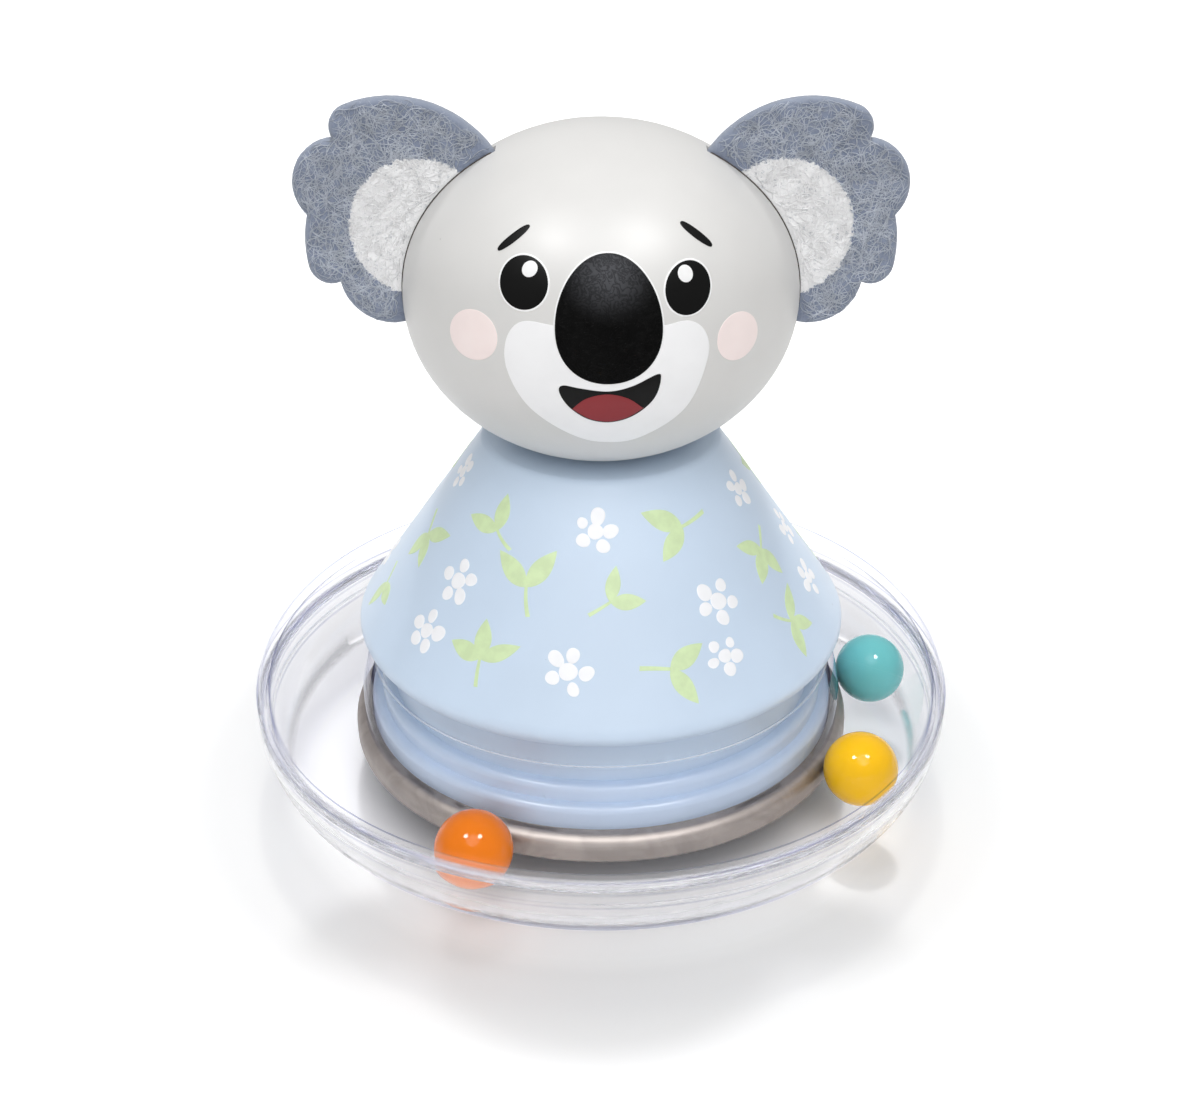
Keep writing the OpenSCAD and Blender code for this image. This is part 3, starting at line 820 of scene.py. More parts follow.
class ROLY_OT_ears(bpy.types.Operator):
    """Felt ears: uneven sheets of the cut shape, with matted fibres on both faces"""

    bl_idname = "roly.ears"
    bl_label = "Felt ears"

    seeds = {"left_ear": 11, "right_ear": 23}
    # The cut edge: how far in the felt gets thinner, by what share, how far in it is paler, and its bulge
    thin_in = 0.9 * MM
    thin_share = 0.34
    pale_in = 1.1 * MM
    bulge = 0.12 * MM
    # The sheet's points, in mesh steps: between rows, most shift, and least distance from the edge
    row_step = 0.87
    shift = 0.18
    inset = 0.55
    # How far the faces lie within the thickness, their small and broad lumps, and the waves of the broad ones
    face_in = 0.08 * MM
    small_lump, broad_lump = 0.03 * MM, 0.06 * MM
    waves_across, waves_up = 900, 820
    # Fibres: points of each, least distance from the head and the edge, depth of their ends, and ranges in mm
    knots = 5
    head_spare = 0.5 * MM
    edge_spare = 0.05 * MM
    end_in = 0.05 * MM
    fibre_length, fibre_lift, fibre_radius = (2.0, 6.0), (0.03, 0.14), (0.05, 0.1)
    most_curl = 0.75
    # The slot's dark edge, bare wood darkened as painted shade of the gap: its distance from the felt, steps
    # round the head, raggedness and radius
    slot_gap = 0.5 * MM
    slot_steps = 720
    slot_ragged = 0.05 * MM
    slot_radius = 0.2 * MM

    def execute(self, context):
        felt = context.scene.roly_felt
        wool = self.wool("Ear felt", felt, felt.felt, shade=0.96, depth=0.3 * MM)
        strands = self.wool("Ear fibres", felt, felt.fibre, shade=1.0, depth=0.0)
        edge = skin_material(
            "Slot edge", felt.slot, roughness=0.7, broad=500.0, peel=2000.0, depth=0.03 * MM, shade=0.25
        )
        for node, seed in self.seeds.items():
            rng = random.Random(seed)
            outline = Outline(subdivided(loop_of(node), felt.mesh_step))
            sheet = self.sheet(node + "_felt", outline, felt, wool, rng)
            nap = self.nap(node + "_nap", outline, felt, strands, rng)
            self.slot_edge(node + "_slot_edge", outline, felt, edge, rng)
            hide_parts(node)
        return {"FINISHED"}

    def slot_edge(self, name, outline, felt, made, rng):
        """The ragged edges of the head's slot, in front of the ear and behind it: bare wood darkened as
        painted shade.
        """
        maker = Maker()
        for way in (-1, 1):
            y = way * (0.5 * felt.thickness + self.slot_gap)
            shrink = math.sqrt(1 - (y / HEAD_WIDE) ** 2)
            path = []
            for k in range(self.slot_steps):
                turn = 2 * math.pi * k / self.slot_steps - math.pi / 2
                x, rise = HEAD_WIDE * shrink * math.cos(turn), HEAD_TALL * shrink * math.sin(turn)
                if outline.inside([(x, HEAD_MIDDLE + rise)])[0] > 0:
                    ragged = rng.uniform(-self.slot_ragged, self.slot_ragged)
                    path.append(Vector((x, y + ragged, HEAD_MIDDLE + rise)))
            if path:
                maker.strand(path, self.slot_radius, sides=6)
        maker.make(name, made, "bare_wood")

    def wool(self, name, felt, color, shade, depth):
        """Wool with the white print in the middle of the ear's front, in some shade of its own white."""
        made, t, shader = material(name)
        edge = t.add("ShaderNodeAttribute", attribute_name="edge").outputs["Fac"]
        colours = t.group(felt_group(), {
            "Wool": color, "Rim": felt.rim, "Print": [shade * c for c in felt.middle], "Speck": felt.speck,
            "Radius": felt.middle_radius, "Fuzz": 2.2 * MM, "Edge": edge
        })
        t.fill(shader, {
            "Base Color": colours["Color"], "Roughness": 0.92, "Specular IOR Level": 0.2,
            "Sheen Weight": 0.25, "Sheen Roughness": 0.5
        })
        if depth:
            t.put(shader.inputs["Normal"], t.bump(colours["Matting"], depth))
        return made

    def thinner(self, depth):
        """The share of its thickness that the felt lacks at some depth inside its edge."""
        return self.thin_share * (1 - math.sqrt(1 - (1 - min(depth / self.thin_in, 1.0)) ** 2))

    def pale(self, depth):
        """How much paler the felt is at some depth inside its edge, from 0 to 1."""
        return max(0.0, 1 - depth / self.pale_in)

    def sheet(self, name, outline, felt, made, rng):
        """The sheet with rounded, slightly ragged edges and soft lumps."""
        half = 0.5 * felt.thickness
        step = felt.mesh_step
        low, high = outline.points.min(0), outline.points.max(0)
        spots = []
        for row in range(int((high[1] - low[1]) / (self.row_step * step)) + 1):
            for column in range(int((high[0] - low[0]) / step) + 2):
                x = low[0] + (column + 0.5 * (row % 2) + rng.uniform(-self.shift, self.shift)) * step
                z = low[1] + (self.row_step * row + rng.uniform(-self.shift, self.shift)) * step
                spots.append((x, z))
        inner = [s for s, d in zip(spots, outline.inside(spots)) if d > self.inset * step]
        rim = [tuple(p) for p in outline.points]
        count = len(rim)
        flat = [Vector(p) for p in rim + inner]
        edges = [(i, (i + 1) % count) for i in range(count)]
        places, _, faces, *_ = delaunay_2d_cdt(flat, edges, [], 1, TINY)
        depths = np.maximum(outline.inside([tuple(p) for p in places]), 0.0)
        maker = Maker()
        sides = []
        for way in (-1, 1):
            points = []
            for p, d in zip(places, depths):
                wave = math.sin(self.waves_across * p.x + way) * math.sin(self.waves_up * p.y)
                lump = rng.uniform(-1, 1) * self.small_lump + self.broad_lump * wave
                y = way * (half * (1 - self.thinner(d)) - self.face_in + lump)
                points.append(Vector((p.x, y, p.y)))
            sides.append(maker.ring(points))
        for face in faces:
            maker.faces.append(tuple(sides[0][i] for i in face))
            maker.faces.append(tuple(sides[1][i] for i in reversed(face)))
        middle = centre_of(rim)
        brim = []
        for x, z in rim:
            out = Vector((x - middle[0], 0, z - middle[1])).normalized()
            brim.append(Vector((x, 0, z)) + out * rng.uniform(0.0, self.bulge))
        waist = maker.ring(brim)
        maker.bridge(sides[0][:count], waist)
        maker.bridge(waist, sides[1][:count])
        piece = maker.make(name, made, "ear_felt")
        shares = [self.pale(d) for d in depths]
        self.mark_edge(piece, shares + shares + [1.0] * count)
        return piece

    def nap(self, name, outline, felt, made, rng):
        """Matted fibres that lie on both faces, inside the cut edge and clear of the head."""
        half = 0.5 * felt.thickness - self.end_in
        low, high = outline.points.min(0), outline.points.max(0)
        maker = Maker()
        shares = []
        last = self.knots - 1
        for way, wanted in ((-1, felt.front_fibres), (1, felt.back_fibres)):
            made_so_far = 0
            while made_so_far < wanted:
                x, z = rng.uniform(low[0], high[0]), rng.uniform(low[1], high[1])
                long = rng.uniform(*self.fibre_length) * MM
                turn = rng.uniform(0, 2 * math.pi)
                curl = rng.uniform(-self.most_curl, self.most_curl)
                spots = []
                for _ in range(self.knots):
                    spots.append((x, z))
                    x += long / last * math.cos(turn)
                    z += long / last * math.sin(turn)
                    turn += curl
                depths = outline.inside(spots)
                clear = all(out_of_head(*spot, self.head_spare) for spot in spots)
                if min(depths) < self.edge_spare or not clear:
                    continue
                lift = rng.uniform(*self.fibre_lift) * MM
                path = []
                for k, (spot, d) in enumerate(zip(spots, depths)):
                    arch = lift if 0 < k < last else -self.end_in
                    path.append(Vector((spot[0], way * (half * (1 - self.thinner(d)) + arch), spot[1])))
                before = len(maker.points)
                maker.strand(path, rng.uniform(*self.fibre_radius) * MM)
                shares += [self.pale(float(np.mean(depths)))] * (len(maker.points) - before)
                made_so_far += 1
        piece = maker.make(name, made, "ear_felt")
        self.mark_edge(piece, shares)
        return piece

    def mark_edge(self, piece, shares):
        """Stores how near each point is to the cut edge, for the felt's colours."""
        stored = piece.data.attributes.new("edge", "FLOAT", "POINT")
        stored.data.foreach_set("value", [float(s) for s in shares])


def cone_side():
    """The cone's straight side: its lower and upper end, each as radius and height, and its outward way."""
    foot = Vector((CONE_HIGH.x - CONE_FOOT_ROUND, CONE_LOW.z + CONE_FOOT_ROUND))
    top = Vector((CONE_TOP_RADIUS - CONE_TOP_ROUND, CONE_HIGH.z - CONE_TOP_ROUND))
    apart = top - foot
    turn = math.atan2(apart.y, apart.x) - math.acos((CONE_FOOT_ROUND - CONE_TOP_ROUND) / apart.length)
    out = Vector((math.cos(turn), math.sin(turn)))
    return foot + CONE_FOOT_ROUND * out, top + CONE_TOP_ROUND * out, out


def on_cone(turn, share):
    """A function that lays flat places round one spot of the cone's side on to it.

    The spot has a turn in degrees from the front and a share of the way up the side.
    """
    low, high, out = cone_side()
    way = (high - low).normalized()
    middle = low + share * (high - low)

    def lay(u, v, lift):
        spot = middle + v * way
        angle = math.radians(turn) + u / spot.x
        spot = spot + lift * out
        return Vector((spot.x * math.sin(angle), -spot.x * math.cos(angle), spot.y))

    return lay


def blossom(maker, lay, size, turn, height, rng):
    """Five uneven petal dots round a middle dot."""
    petals, corners = 5, 24
    lean = 0.16
    # In sizes of the middle dot: how far out a petal is, how large, and how much longer than wide
    far_out, petal_size, longer_by = (1.95, 2.2), (0.72, 1.02), (1.0, 1.22)
    # Shares by which a dot's edge swings in and out, twice and three times round
    twice, thrice = 0.05, 0.03
    thickness = (0.9, 1.2)
    rim, rings = 0.5 * MM, 3
    spots = [(0.0, 0.0, 1.0)]
    for k in range(petals):
        way = turn + 2 * math.pi * k / petals + rng.uniform(-lean, lean)
        far = rng.uniform(*far_out)
        spots.append((far * math.cos(way), far * math.sin(way), rng.uniform(*petal_size)))
    for u, v, grow in spots:
        longer = rng.uniform(*longer_by)
        wobble = rng.uniform(0, 2 * math.pi)
        middle = (size * u, size * v)
        outline = []
        for i in range(corners):
            a = 2 * math.pi * i / corners
            r = size * grow * (1 + twice * math.sin(2 * a + wobble) + thrice * math.sin(3 * a - wobble))
            outline.append(turned(r * longer * math.cos(a), r * math.sin(a), math.atan2(v, u), middle))
        maker.film(outline, middle, lay, height * rng.uniform(*thickness), rim, rings)


def leaf(maker, lay, turn, long, wide, height):
    """One pointed leaf from its root outwards."""
    steps = 16
    # How far its widest part is towards the root, how full it is, and where its middle is along it
    lean, fullness, middle_at = 0.85, 0.9, 0.45
    rim, rings = 0.12 * MM, 4
    outline = []
    for i in range(2 * steps):
        share = i / steps if i <= steps else 2 - i / steps
        side = -1 if i <= steps else 1
        across = side * 0.5 * wide * math.sin(math.pi * share**lean) ** fullness
        outline.append(turned(long * share, across, turn))
    maker.film(outline, turned(middle_at * long, 0.0, turn), lay, height, rim, rings)


def sprig(maker, lay, size, turn, leaves, height, rng):
    """A short stem with two or three leaves at its end."""
    steps = 8
    # In sizes of the sprig: the stem's length, its half width at the leaves, what that grows by, and its bend
    stem_long, stem_half, stem_grows, most_bend = 4.6, 0.26, 0.1, 0.8
    leaf_long, leaf_wide = (6.2, 7.6), (2.7, 3.3)
    # How the leaves lean away from the stem, by their count, and how far each may turn from that
    leans = {2: (-0.72, 0.72), 3: (-1.15, 0.1, 1.25)}
    sway = 0.15
    # The stem's film is lower than a leaf's, and each leaf lies on the one before
    stem_height, leaf_rise = 0.8, 0.12
    rim, rings = 0.1 * MM, 3
    bend = rng.uniform(-most_bend, most_bend)
    stem = []
    for i in range(2 * steps):
        share = i / (steps - 1) if i < steps else (2 * steps - 1 - i) / (steps - 1)
        side = 1 if i < steps else -1
        across = bend * share * share + side * (stem_half + stem_grows * share)
        stem.append(turned(size * -stem_long * share, size * across, turn))
    middle = turned(-0.5 * stem_long * size, 0.25 * bend * size, turn)
    maker.film(stem, middle, lay, stem_height * height, rim, rings)
    for k, lean in enumerate(leans[leaves]):
        long = size * rng.uniform(*leaf_long)
        way = turn + lean + rng.uniform(-sway, sway)
        leaf(maker, lay, way, long, size * rng.uniform(*leaf_wide), height * (1.0 + leaf_rise * k))


class ROLY_OT_cone(bpy.types.Operator):
    """Satin paint on the cone, with a scattered print of small blossoms and leaf sprigs"""

    bl_idname = "roly.cone"
    bl_label = "Cone and its print"

    seed = 5
    # Share of the way up the side, motifs round the cone, and the turn of the first one in degrees
    rows = ((0.2, 16, -9.0), (0.5, 13, 6.0), (0.8, 10, -4.0))
    # How far a motif may be from its place in the row: degrees round the cone, and a share of the way up
    most_aside, most_up = 4, 0.06
    # Ranges of size in millimetres, and heights in layers of film
    sprig_size, blossom_size = (1.0, 1.3), (1.25, 1.6)
    sprig_layers, blossom_layers = 0.8, 1.2

    def execute(self, context):
        paint = context.scene.roly_paint
        dress("body_cone", skin_material(
            "Cone paint", paint.cone, roughness=0.36, broad=45.0, peel=1000.0, depth=0.012 * MM, specks=0.3
        ))
        white = skin_material(
            "Blossom print", paint.blossom, roughness=0.42, broad=400.0, depth=0.02 * MM, specks=0.1
        )
        green = skin_material(
            "Leaf print", paint.leaf, roughness=0.45, broad=420.0, peel=1700.0, depth=0.02 * MM, shade=0.05,
            specks=0.1
        )
        rng = random.Random(self.seed)
        blossoms, leaves = Maker(), Maker()
        for number, (share, count, start) in enumerate(self.rows):
            for k in range(count):
                turn = start + 360 * k / count + rng.uniform(-self.most_aside, self.most_aside)
                lay = on_cone(turn, share + rng.uniform(-self.most_up, self.most_up))
                angle = rng.uniform(0, 2 * math.pi)
                if (k + number) % 2:
                    size = rng.uniform(*self.sprig_size) * MM
                    sprig(leaves, lay, size, angle, 2 + (k // 2) % 2, self.sprig_layers * paint.film, rng)
                else:
                    size = rng.uniform(*self.blossom_size) * MM
                    blossom(blossoms, lay, size, angle, self.blossom_layers * paint.film, rng)
        blossoms.make("cone_blossoms", white, "body_paint")
        leaves.make("cone_leaves", green, "body_paint")
        return {"FINISHED"}


class ROLY_OT_spool(bpy.types.Operator):
    """Moulded blue plastic of the spool"""

    bl_idname = "roly.spool"
    bl_label = "Spool"

    def execute(self, context):
        color = context.scene.roly_plastic.spool
        dress("base_spool", skin_material(
            "Spool plastic", color, roughness=0.3, broad=60.0, peel=700.0, depth=0.008 * MM, shade=0.03,
            specks=0.25
        ))
        return {"FINISHED"}


class ROLY_OT_dish(bpy.types.Operator):
    """Clear plastic of the cover and the bowl"""

    bl_idname = "roly.dish"
    bl_label = "Clear dish"

    # Heights and half widths, in millimetres, of the darker lines round the rim, painted for edges that its
    # bent light shows, and of the white streaks, painted highlights
    rim_tints = ((23.9, 0.4), (21.2, 0.5), (17.9, 0.5))
    rim_highlights = ((22.8, 0.5), (18.9, 0.6))
    highlight_share = 0.55
    # How far from the axis the rim starts
    rim_from = (66 * MM, 68 * MM)
    # The heights where the rim's wall stops bending light, and where the painted reflection on its shoulder
    # stops, and that reflection's share
    wall_ends = (21.5 * MM, 23.0 * MM)
    reflection_ends = (25.4 * MM, 25.9 * MM)
    reflection_share = 0.13
    # A painted highlight on the lip of the hub's collar: its radius, its fading half width, where it starts,
    # and its share
    lip_radius = 48.0 * MM
    lip_half = (0.1 * MM, 0.45 * MM)
    lip_from = (30.8 * MM, 31.1 * MM)
    lip_highlight_share = 0.4
    # Shares of the light that a face mirrors, met squarely and along it, and the power by which they grow
    mirrors = (0.012, 0.9)
    mirror_power = 5.0
    # How far a face turns aside where its tint, or its loss of light, starts and is full
    tint_facing = (0.68, 0.98)
    loss_facing = (0.6, 0.97)
    # The shares of a lamp's light that pass each face of the rim, and a face that the light runs along
    rim_passes = (0.91, 0.91, 0.92, 1.0)
    along_passes = (0.5, 0.5, 0.51, 1.0)
    # Light that has run along inside the plastic for so many bounces comes out as an even tint
    held_bounces = 8.0
    # Smears that roughen the plastic, and patches that break up the lines round the rim, each per metre
    smears, most_rough = 90.0, 0.03
    patches, patch_shares = 28.0, (0.3, 0.8)

    def execute(self, context):
        plastic = context.scene.roly_plastic
        cover = self.clear_plastic("Clear cover plastic", plastic, passed=0.995)
        dress("clear_cover", cover, sharp_from=17)
        dress("clear_bowl", self.clear_plastic("Clear bowl plastic", plastic, passed=0.97))
        return {"FINISHED"}

    def rim_lines(self, t, height, lines):
        """1 along each of these heights, fading to 0 at its half width."""
        share = 0.0
        for middle, half in lines:
            off = t.math("ABSOLUTE", t.math("SUBTRACT", height, middle * MM))
            share = t.math("MAXIMUM", share, t.ramp(off, 0.0, half * MM, 1.0, 0.0))
        return share

    def clear_plastic(self, name, plastic, passed):
        """Clear plastic that bends light in the rim's wall and is thin elsewhere, with tinted, glossy edges.

        Its faces pass a share of a lamp's light, and less of it where the light runs along them.
        """
        made, t, shader = material(name)
        facing = t.add("ShaderNodeLayerWeight", {"Blend": 0.5}).outputs["Facing"]
        front = t.math("SUBTRACT", 1.0, t.add("ShaderNodeNewGeometry").outputs["Backfacing"])
        path = t.add("ShaderNodeLightPath").outputs
        place = t.place()
        reach, height = t.reach(place), t.axes(place)["Z"]
        outside = t.ramp(reach, *self.rim_from)
        rough = t.ramp(t.noise(place, self.smears, 4.0), 0.35, 0.75, 0.0, self.most_rough)
        patchy = t.ramp(t.noise(place, self.patches, 2.0), 0.36, 0.62, *self.patch_shares)
        uneven = t.math("MULTIPLY", outside, patchy)
        # Darker lines round the rim, painted for edges that the rim's bent light shows
        tinted = t.math("MULTIPLY", uneven, self.rim_lines(t, height, self.rim_tints))
        # Thick plastic, which bends light
        late = t.math("COMPARE", path["Ray Depth"], self.held_bounces, third=0.5)
        t.fill(shader, {
            "Base Color": t.mix(tinted, plastic.clear, plastic.clear_edge),
            "Roughness": rough,
            "Transmission Weight": 1.0,
            "IOR": plastic.clear_index,
            "Emission Color": t.mix(late, BLACK, plastic.held_light),
            "Emission Strength": 1.0,
        })
        # Thin plastic, which passes the view straight
        along = t.math("MAXIMUM", t.ramp(facing, *self.tint_facing), tinted)
        color = t.mix(along, plastic.clear, plastic.clear_edge)
        straight = t.add("ShaderNodeBsdfTransparent", {"Color": color})
        gloss = t.add("ShaderNodeBsdfGlossy", {"Color": WHITE, "Roughness": rough})
        share = t.ramp(t.math("POWER", facing, self.mirror_power), 0.0, 1.0, *self.mirrors)
        thin = t.blend(t.math("MULTIPLY", front, share), straight.outputs[0], gloss.outputs[0])
        wall = t.math("MULTIPLY", outside, t.ramp(height, *self.wall_ends, 1.0, 0.0))
        clear = t.blend(wall, thin, shader.outputs[0])
        # Painted white on it: a painted reflection on the rounded shoulder, and painted highlights on the lip
        # of the hub's collar and in streaks round the rim
        shoulder_reflection = t.math("MULTIPLY", outside, t.ramp(height, *self.reflection_ends, self.reflection_share, 0.0))
        # Painted highlight along the lip of the hub's collar
        off = t.math("ABSOLUTE", t.math("SUBTRACT", reach, self.lip_radius))
        ring = t.ramp(off, *self.lip_half, self.lip_highlight_share, 0.0)
        lip = t.math("MULTIPLY", ring, t.ramp(height, *self.lip_from))
        # Painted highlights: white streaks round the rim
        streaks = t.math("MULTIPLY", uneven, self.rim_lines(t, height, self.rim_highlights))
        painted = t.math("MAXIMUM", shoulder_reflection, t.math("MULTIPLY", streaks, self.highlight_share))
        painted_white = t.math("MAXIMUM", t.math("MULTIPLY", front, painted), lip)
        seen = t.blend(painted_white, clear, t.add("ShaderNodeBsdfDiffuse", {"Color": WHITE}).outputs[0])
        # What lamps and pale surfaces send through it
        lost = t.mix(t.ramp(facing, *self.loss_facing), (passed, passed, passed, 1.0), self.along_passes)
        through = t.add("ShaderNodeBsdfTransparent", {"Color": t.mix(outside, lost, self.rim_passes)})
        light = t.math("MAXIMUM", path["Is Shadow Ray"], path["Is Diffuse Ray"])
        output = made.node_tree.nodes["Material Output"]
        t.put(output.inputs["Surface"], t.blend(light, seen, through.outputs[0]))
        return made


class ROLY_OT_balls(bpy.types.Operator):
    """Glossy plastic of the three balls, each with a faint moulding seam"""

    bl_idname = "roly.balls"
    bl_label = "Balls"

    # The way that each ball's seam faces
    seams = {"teal": (0.3, 0.5, 0.8), "yellow": (-0.6, 0.2, 0.77), "orange": (0.7, -0.3, 0.65)}
    # A seam's half width, its roughness, and its depth in depths of the ripples
    seam_half = (0.03 * MM, 0.09 * MM)
    seam_rough = 0.3
    seam_deep = 1.5
    ripple_depth = 0.006 * MM

    def execute(self, context):
        plastic = context.scene.roly_plastic
        for name, way in self.seams.items():
            dress("ball_" + name, self.plastic(name, getattr(plastic, name), way))
        return {"FINISHED"}

    def plastic(self, name, color, way):
        """Gloss with soft ripples and a seam round the ball's middle."""
        low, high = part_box("ball_" + name)
        made, t, shader = material(name.capitalize() + " plastic")
        skin = t.group(skin_group(), {
            "Color": color, "Shade": 0.02, "Broad Scale": 110.0, "Peel Scale": 300.0,
            "Roughness": 0.05, "Spread": 0.02, "Specks": 0.2
        })
        middle = (low + high) / 2
        off = t.add("ShaderNodeVectorMath", {0: t.place(), 1: middle}, operation="SUBTRACT").outputs[0]
        side = t.add("ShaderNodeVectorMath", {0: off, 1: Vector(way).normalized()}, operation="DOT_PRODUCT")
        seam = t.ramp(t.math("ABSOLUTE", side.outputs["Value"]), *self.seam_half, 1.0, 0.0)
        height = t.math("SUBTRACT", skin["Height"], t.math("MULTIPLY", seam, self.seam_deep))
        t.fill(shader, {
            "Base Color": skin["Color"],
            "Roughness": t.math("MAXIMUM", skin["Roughness"], t.math("MULTIPLY", seam, self.seam_rough)),
            "Normal": t.bump(height, self.ripple_depth),
            "Specular IOR Level": 0.3,
        })
        return made


class ROLY_OT_weight(bpy.types.Operator):
    """Turned steel of the weight and plated steel of the screws"""

    bl_idname = "roly.weight"
    bl_label = "Weight and screws"

    def execute(self, context):
        bare = context.scene.roly_bare
        turned_steel = self.steel("Turned steel", bare.weight, rings_per_metre=5200.0, roughness=0.55)
        dress("weight_plate", turned_steel)
        plated = self.steel("Plated steel", bare.screw, rings_per_metre=2600.0, roughness=0.34)
        for node in ("weight_screws", "body_screws"):
            dress(node, plated)
        return {"FINISHED"}

    def steel(self, name, color, rings_per_metre, roughness):
        """Steel with fine turned rings and faint clouds."""
        darkest, brightest = 0.86, 1.05
        ring_depth = 0.006 * MM
        made, t, shader = material(name)
        lathe = t.group(turned_group(), {"Scale": rings_per_metre, "Roughness": roughness, "Spread": 0.16})
        t.fill(shader, {
            "Base Color": t.scaled(color, t.ramp(lathe["Shade"], 0.3, 0.7, darkest, brightest)),
            "Roughness": lathe["Roughness"],
            "Normal": t.bump(lathe["Height"], ring_depth),
            "Metallic": 1.0,
        })
        return made


class ROLY_OT_dowel(bpy.types.Operator):
    """Bare wood of the neck dowel"""

    bl_idname = "roly.dowel"
    bl_label = "Dowel"

    def execute(self, context):
        bare = context.scene.roly_bare
        grain_per_metre = (900.0, 900.0, 40.0)
        grain_depth = 0.03 * MM
        made, t, shader = material("Bare wood")
        long = t.stretched(t.place(), grain_per_metre)
        grain = t.ramp(t.noise(long, 1.0, 4.0, 0.6), 0.35, 0.7)
        t.fill(shader, {
            "Base Color": t.mix(grain, bare.wood, bare.grain),
            "Roughness": t.ramp(grain, 0.0, 1.0, 0.55, 0.75),
            "Normal": t.bump(grain, grain_depth),
        })
        dress("neck_dowel", made)
        return {"FINISHED"}


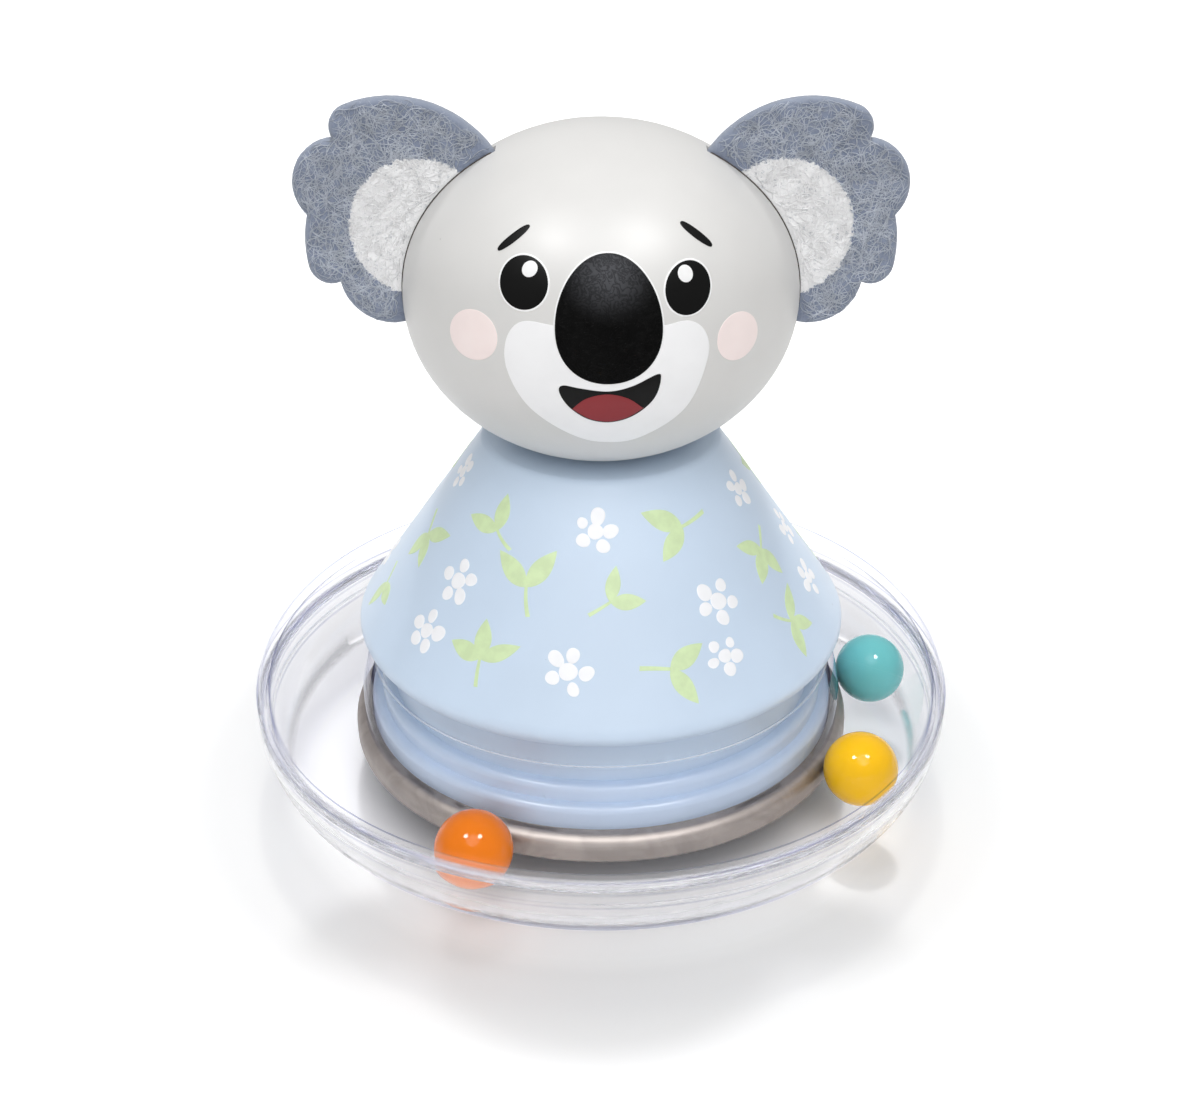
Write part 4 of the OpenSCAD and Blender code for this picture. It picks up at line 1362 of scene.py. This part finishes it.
class ROLY_OT_stage(bpy.types.Operator):
    """Pale floor, soft light from all round, four far lights, two small lamps and the camera"""

    bl_idname = "roly.stage"
    bl_label = "Stage"

    # Far lights: elevation and width of each in degrees, and whether glossy surfaces mirror it
    far_lights = {
        "overhead": (108, 18, False), "rear": (115, 4, False), "fill": (32, 70, False), "key": (62, 36, True),
    }
    # The places of the two small lamps, their size, and the place that they face
    lamps = ((0.19, -0.2, 0.6), (-0.22, -0.2, 0.6))
    lamp_size = 0.13
    lamp_aim = (0, 0, 0.05)
    # The round floor: its radius, how far its middle is behind the toy, its sides, and how far below it lies
    floor_radius = 0.62
    floor_back = 0.46
    floor_sides = 96
    floor_below = 0.05 * MM
    # How far from the toy's middle the floor starts to fade to plain white, and where it is white; nearer, it
    # shows darker, as painted shade round the toy
    plain_from, plain_to = 0.082, 0.118
    # How far from it the painted light on the floor under the clear dish starts, and where it is full
    under_from, under_to = 0.071, 0.058
    # How often light may bounce, and how many clear faces it may pass
    bounces = 16
    clear_faces = 32
    # The camera: the width of its picture in millimetres, and how near it shows things
    picture_width = 36
    nearest_shown = 0.01

    def execute(self, context):
        scene = context.scene
        stage = scene.roly_stage
        scene.view_settings.view_transform = "Standard"
        scene.cycles.max_bounces = self.bounces
        scene.cycles.transmission_bounces = self.bounces
        scene.cycles.glossy_bounces = self.bounces
        scene.cycles.transparent_max_bounces = self.clear_faces
        scene.cycles.caustics_reflective = False
        scene.cycles.caustics_refractive = False
        scene.cycles.blur_glossy = 0.0
        self.camera(scene, stage)
        self.sky(scene, stage)
        self.floor(stage)
        for name, (elevation, width, mirrored) in self.far_lights.items():
            self.far_light(name, elevation, width, getattr(stage, name), mirrored)
        for number, place in enumerate(self.lamps):
            self.small_lamp(f"lamp_{number}", place, stage.side_lamp)
        return {"FINISHED"}

    def camera(self, scene, stage):
        """The camera, which looks along +Y and down."""
        data = bpy.data.cameras.new("camera")
        data.lens = stage.lens
        data.sensor_width = self.picture_width
        data.clip_start = self.nearest_shown
        camera = linked("camera", data)
        back = Vector((0, -math.cos(stage.elevation), math.sin(stage.elevation)))
        camera.location = Vector(stage.look) + stage.distance * back
        camera.rotation_euler = (math.pi / 2 - stage.elevation, 0, 0)
        scene.camera = camera

    def far_light(self, name, elevation, width, strength, mirrored):
        """A far light, in front of the toy up to an elevation of 90 degrees and behind it beyond that."""
        data = bpy.data.lights.new(name, "SUN")
        data.angle = math.radians(width)
        data.energy = strength
        lamp = linked(name, data)
        lamp.rotation_euler = (math.radians(90 - elevation), 0, 0)
        lamp.visible_glossy = mirrored

    def small_lamp(self, name, place, power):
        """A round lamp that faces the toy, and that only glossy surfaces show."""
        data = bpy.data.lights.new(name, "AREA")
        data.shape = "DISK"
        data.size = self.lamp_size
        data.energy = power
        lamp = linked(name, data)
        lamp.location = place
        lamp.rotation_euler = (Vector(self.lamp_aim) - Vector(place)).to_track_quat("-Z", "Y").to_euler()
        lamp.visible_diffuse = False

    def shown(self, t, mirrored):
        """How strongly a ray that has met nothing matt shows the background: straight, bent or mirrored."""
        path = t.add("ShaderNodeLightPath").outputs
        straight = t.math("MAXIMUM", path["Is Camera Ray"], path["Is Transmission Ray"])
        seen = t.math("MAXIMUM", straight, t.math("MULTIPLY", path["Is Glossy Ray"], mirrored))
        return t.math("MULTIPLY", seen, t.math("SUBTRACT", 1.0, path["Diffuse Depth"], clamp=True))

    def sky(self, scene, stage):
        """Even white light, which shows as plain white."""
        world = bpy.data.worlds.new("white room")
        world.use_nodes = True
        t = Tree(world.node_tree)
        background = world.node_tree.nodes["Background"]
        strength = t.line(self.shown(t, stage.mirrored_sky), 1.0 - stage.sky, stage.sky)
        t.fill(background, {"Color": WHITE, "Strength": strength})
        scene.world = world

    def floor(self, stage):
        """A wide pale floor that keeps the toy's shadow."""
        corners = []
        for k in range(self.floor_sides):
            turn = 2 * math.pi * k / self.floor_sides
            x, y = turned(self.floor_radius, 0.0, turn, (0.0, self.floor_back))
            corners.append((x, y, -self.floor_below))
        mesh = bpy.data.meshes.new("floor")
        mesh.from_pydata(corners, [], [tuple(range(self.floor_sides))])
        made, t, _ = material("Floor")
        away = t.length(t.place())
        # Painted shade near the toy that fades out farther off, and painted light under the clear dish
        more = t.ramp(away, self.plain_from, self.plain_to, stage.floor_shown - 1.0, stage.floor_far - 1.0)
        more = t.math("ADD", more, t.ramp(away, self.under_to, self.under_from, stage.floor_lit_under_dish, 0.0))
        brighter = t.line(self.shown(t, 1.0), more, 1.0)
        matt = t.add("ShaderNodeBsdfDiffuse", {"Color": t.scaled(tuple(stage.floor), brighter)})
        t.put(made.node_tree.nodes["Material Output"].inputs["Surface"], matt.outputs[0])
        mesh.materials.append(made)
        floor = linked("floor", mesh)


class ROLY_PT_panel(bpy.types.Panel):
    """Lists the pieces of the toy"""

    bl_idname = "ROLY_PT_panel"
    bl_label = "Roly poly toy"
    bl_space_type = "VIEW_3D"
    bl_region_type = "UI"
    bl_category = "Roly poly"

    def draw(self, context):
        for operator in OPERATORS:
            self.layout.operator(operator.bl_idname)
        for name in SETTINGS:
            group = getattr(context.scene, name)
            column = self.layout.column()
            for key in group.__annotations__:
                column.prop(group, key)


SETTINGS = {
    "roly_paint": ToyPaint,
    "roly_felt": ToyFelt,
    "roly_plastic": ToyPlastic,
    "roly_bare": ToyBare,
    "roly_stage": ToyStage,
}
OPERATORS = (
    ROLY_OT_stage, ROLY_OT_head, ROLY_OT_face, ROLY_OT_ears, ROLY_OT_cone, ROLY_OT_spool,
    ROLY_OT_dish, ROLY_OT_balls, ROLY_OT_weight, ROLY_OT_dowel,
)
CLASSES = (*SETTINGS.values(), *OPERATORS, ROLY_PT_panel)


def register():
    """Adds the classes and their settings to Blender."""
    for made in CLASSES:
        bpy.utils.register_class(made)
    for name, group in SETTINGS.items():
        setattr(bpy.types.Scene, name, PointerProperty(type=group))


def unregister():
    """Takes them out again."""
    for name in SETTINGS:
        delattr(bpy.types.Scene, name)
    for made in reversed(CLASSES):
        bpy.utils.unregister_class(made)


def main():
    """Builds the toy and its stage."""
    register()
    bpy.ops.roly.stage()
    bpy.ops.roly.head()
    bpy.ops.roly.face()
    bpy.ops.roly.ears()
    bpy.ops.roly.cone()
    bpy.ops.roly.spool()
    bpy.ops.roly.dish()
    bpy.ops.roly.balls()
    bpy.ops.roly.weight()
    bpy.ops.roly.dowel()


if __name__ == "__main__":
    main()
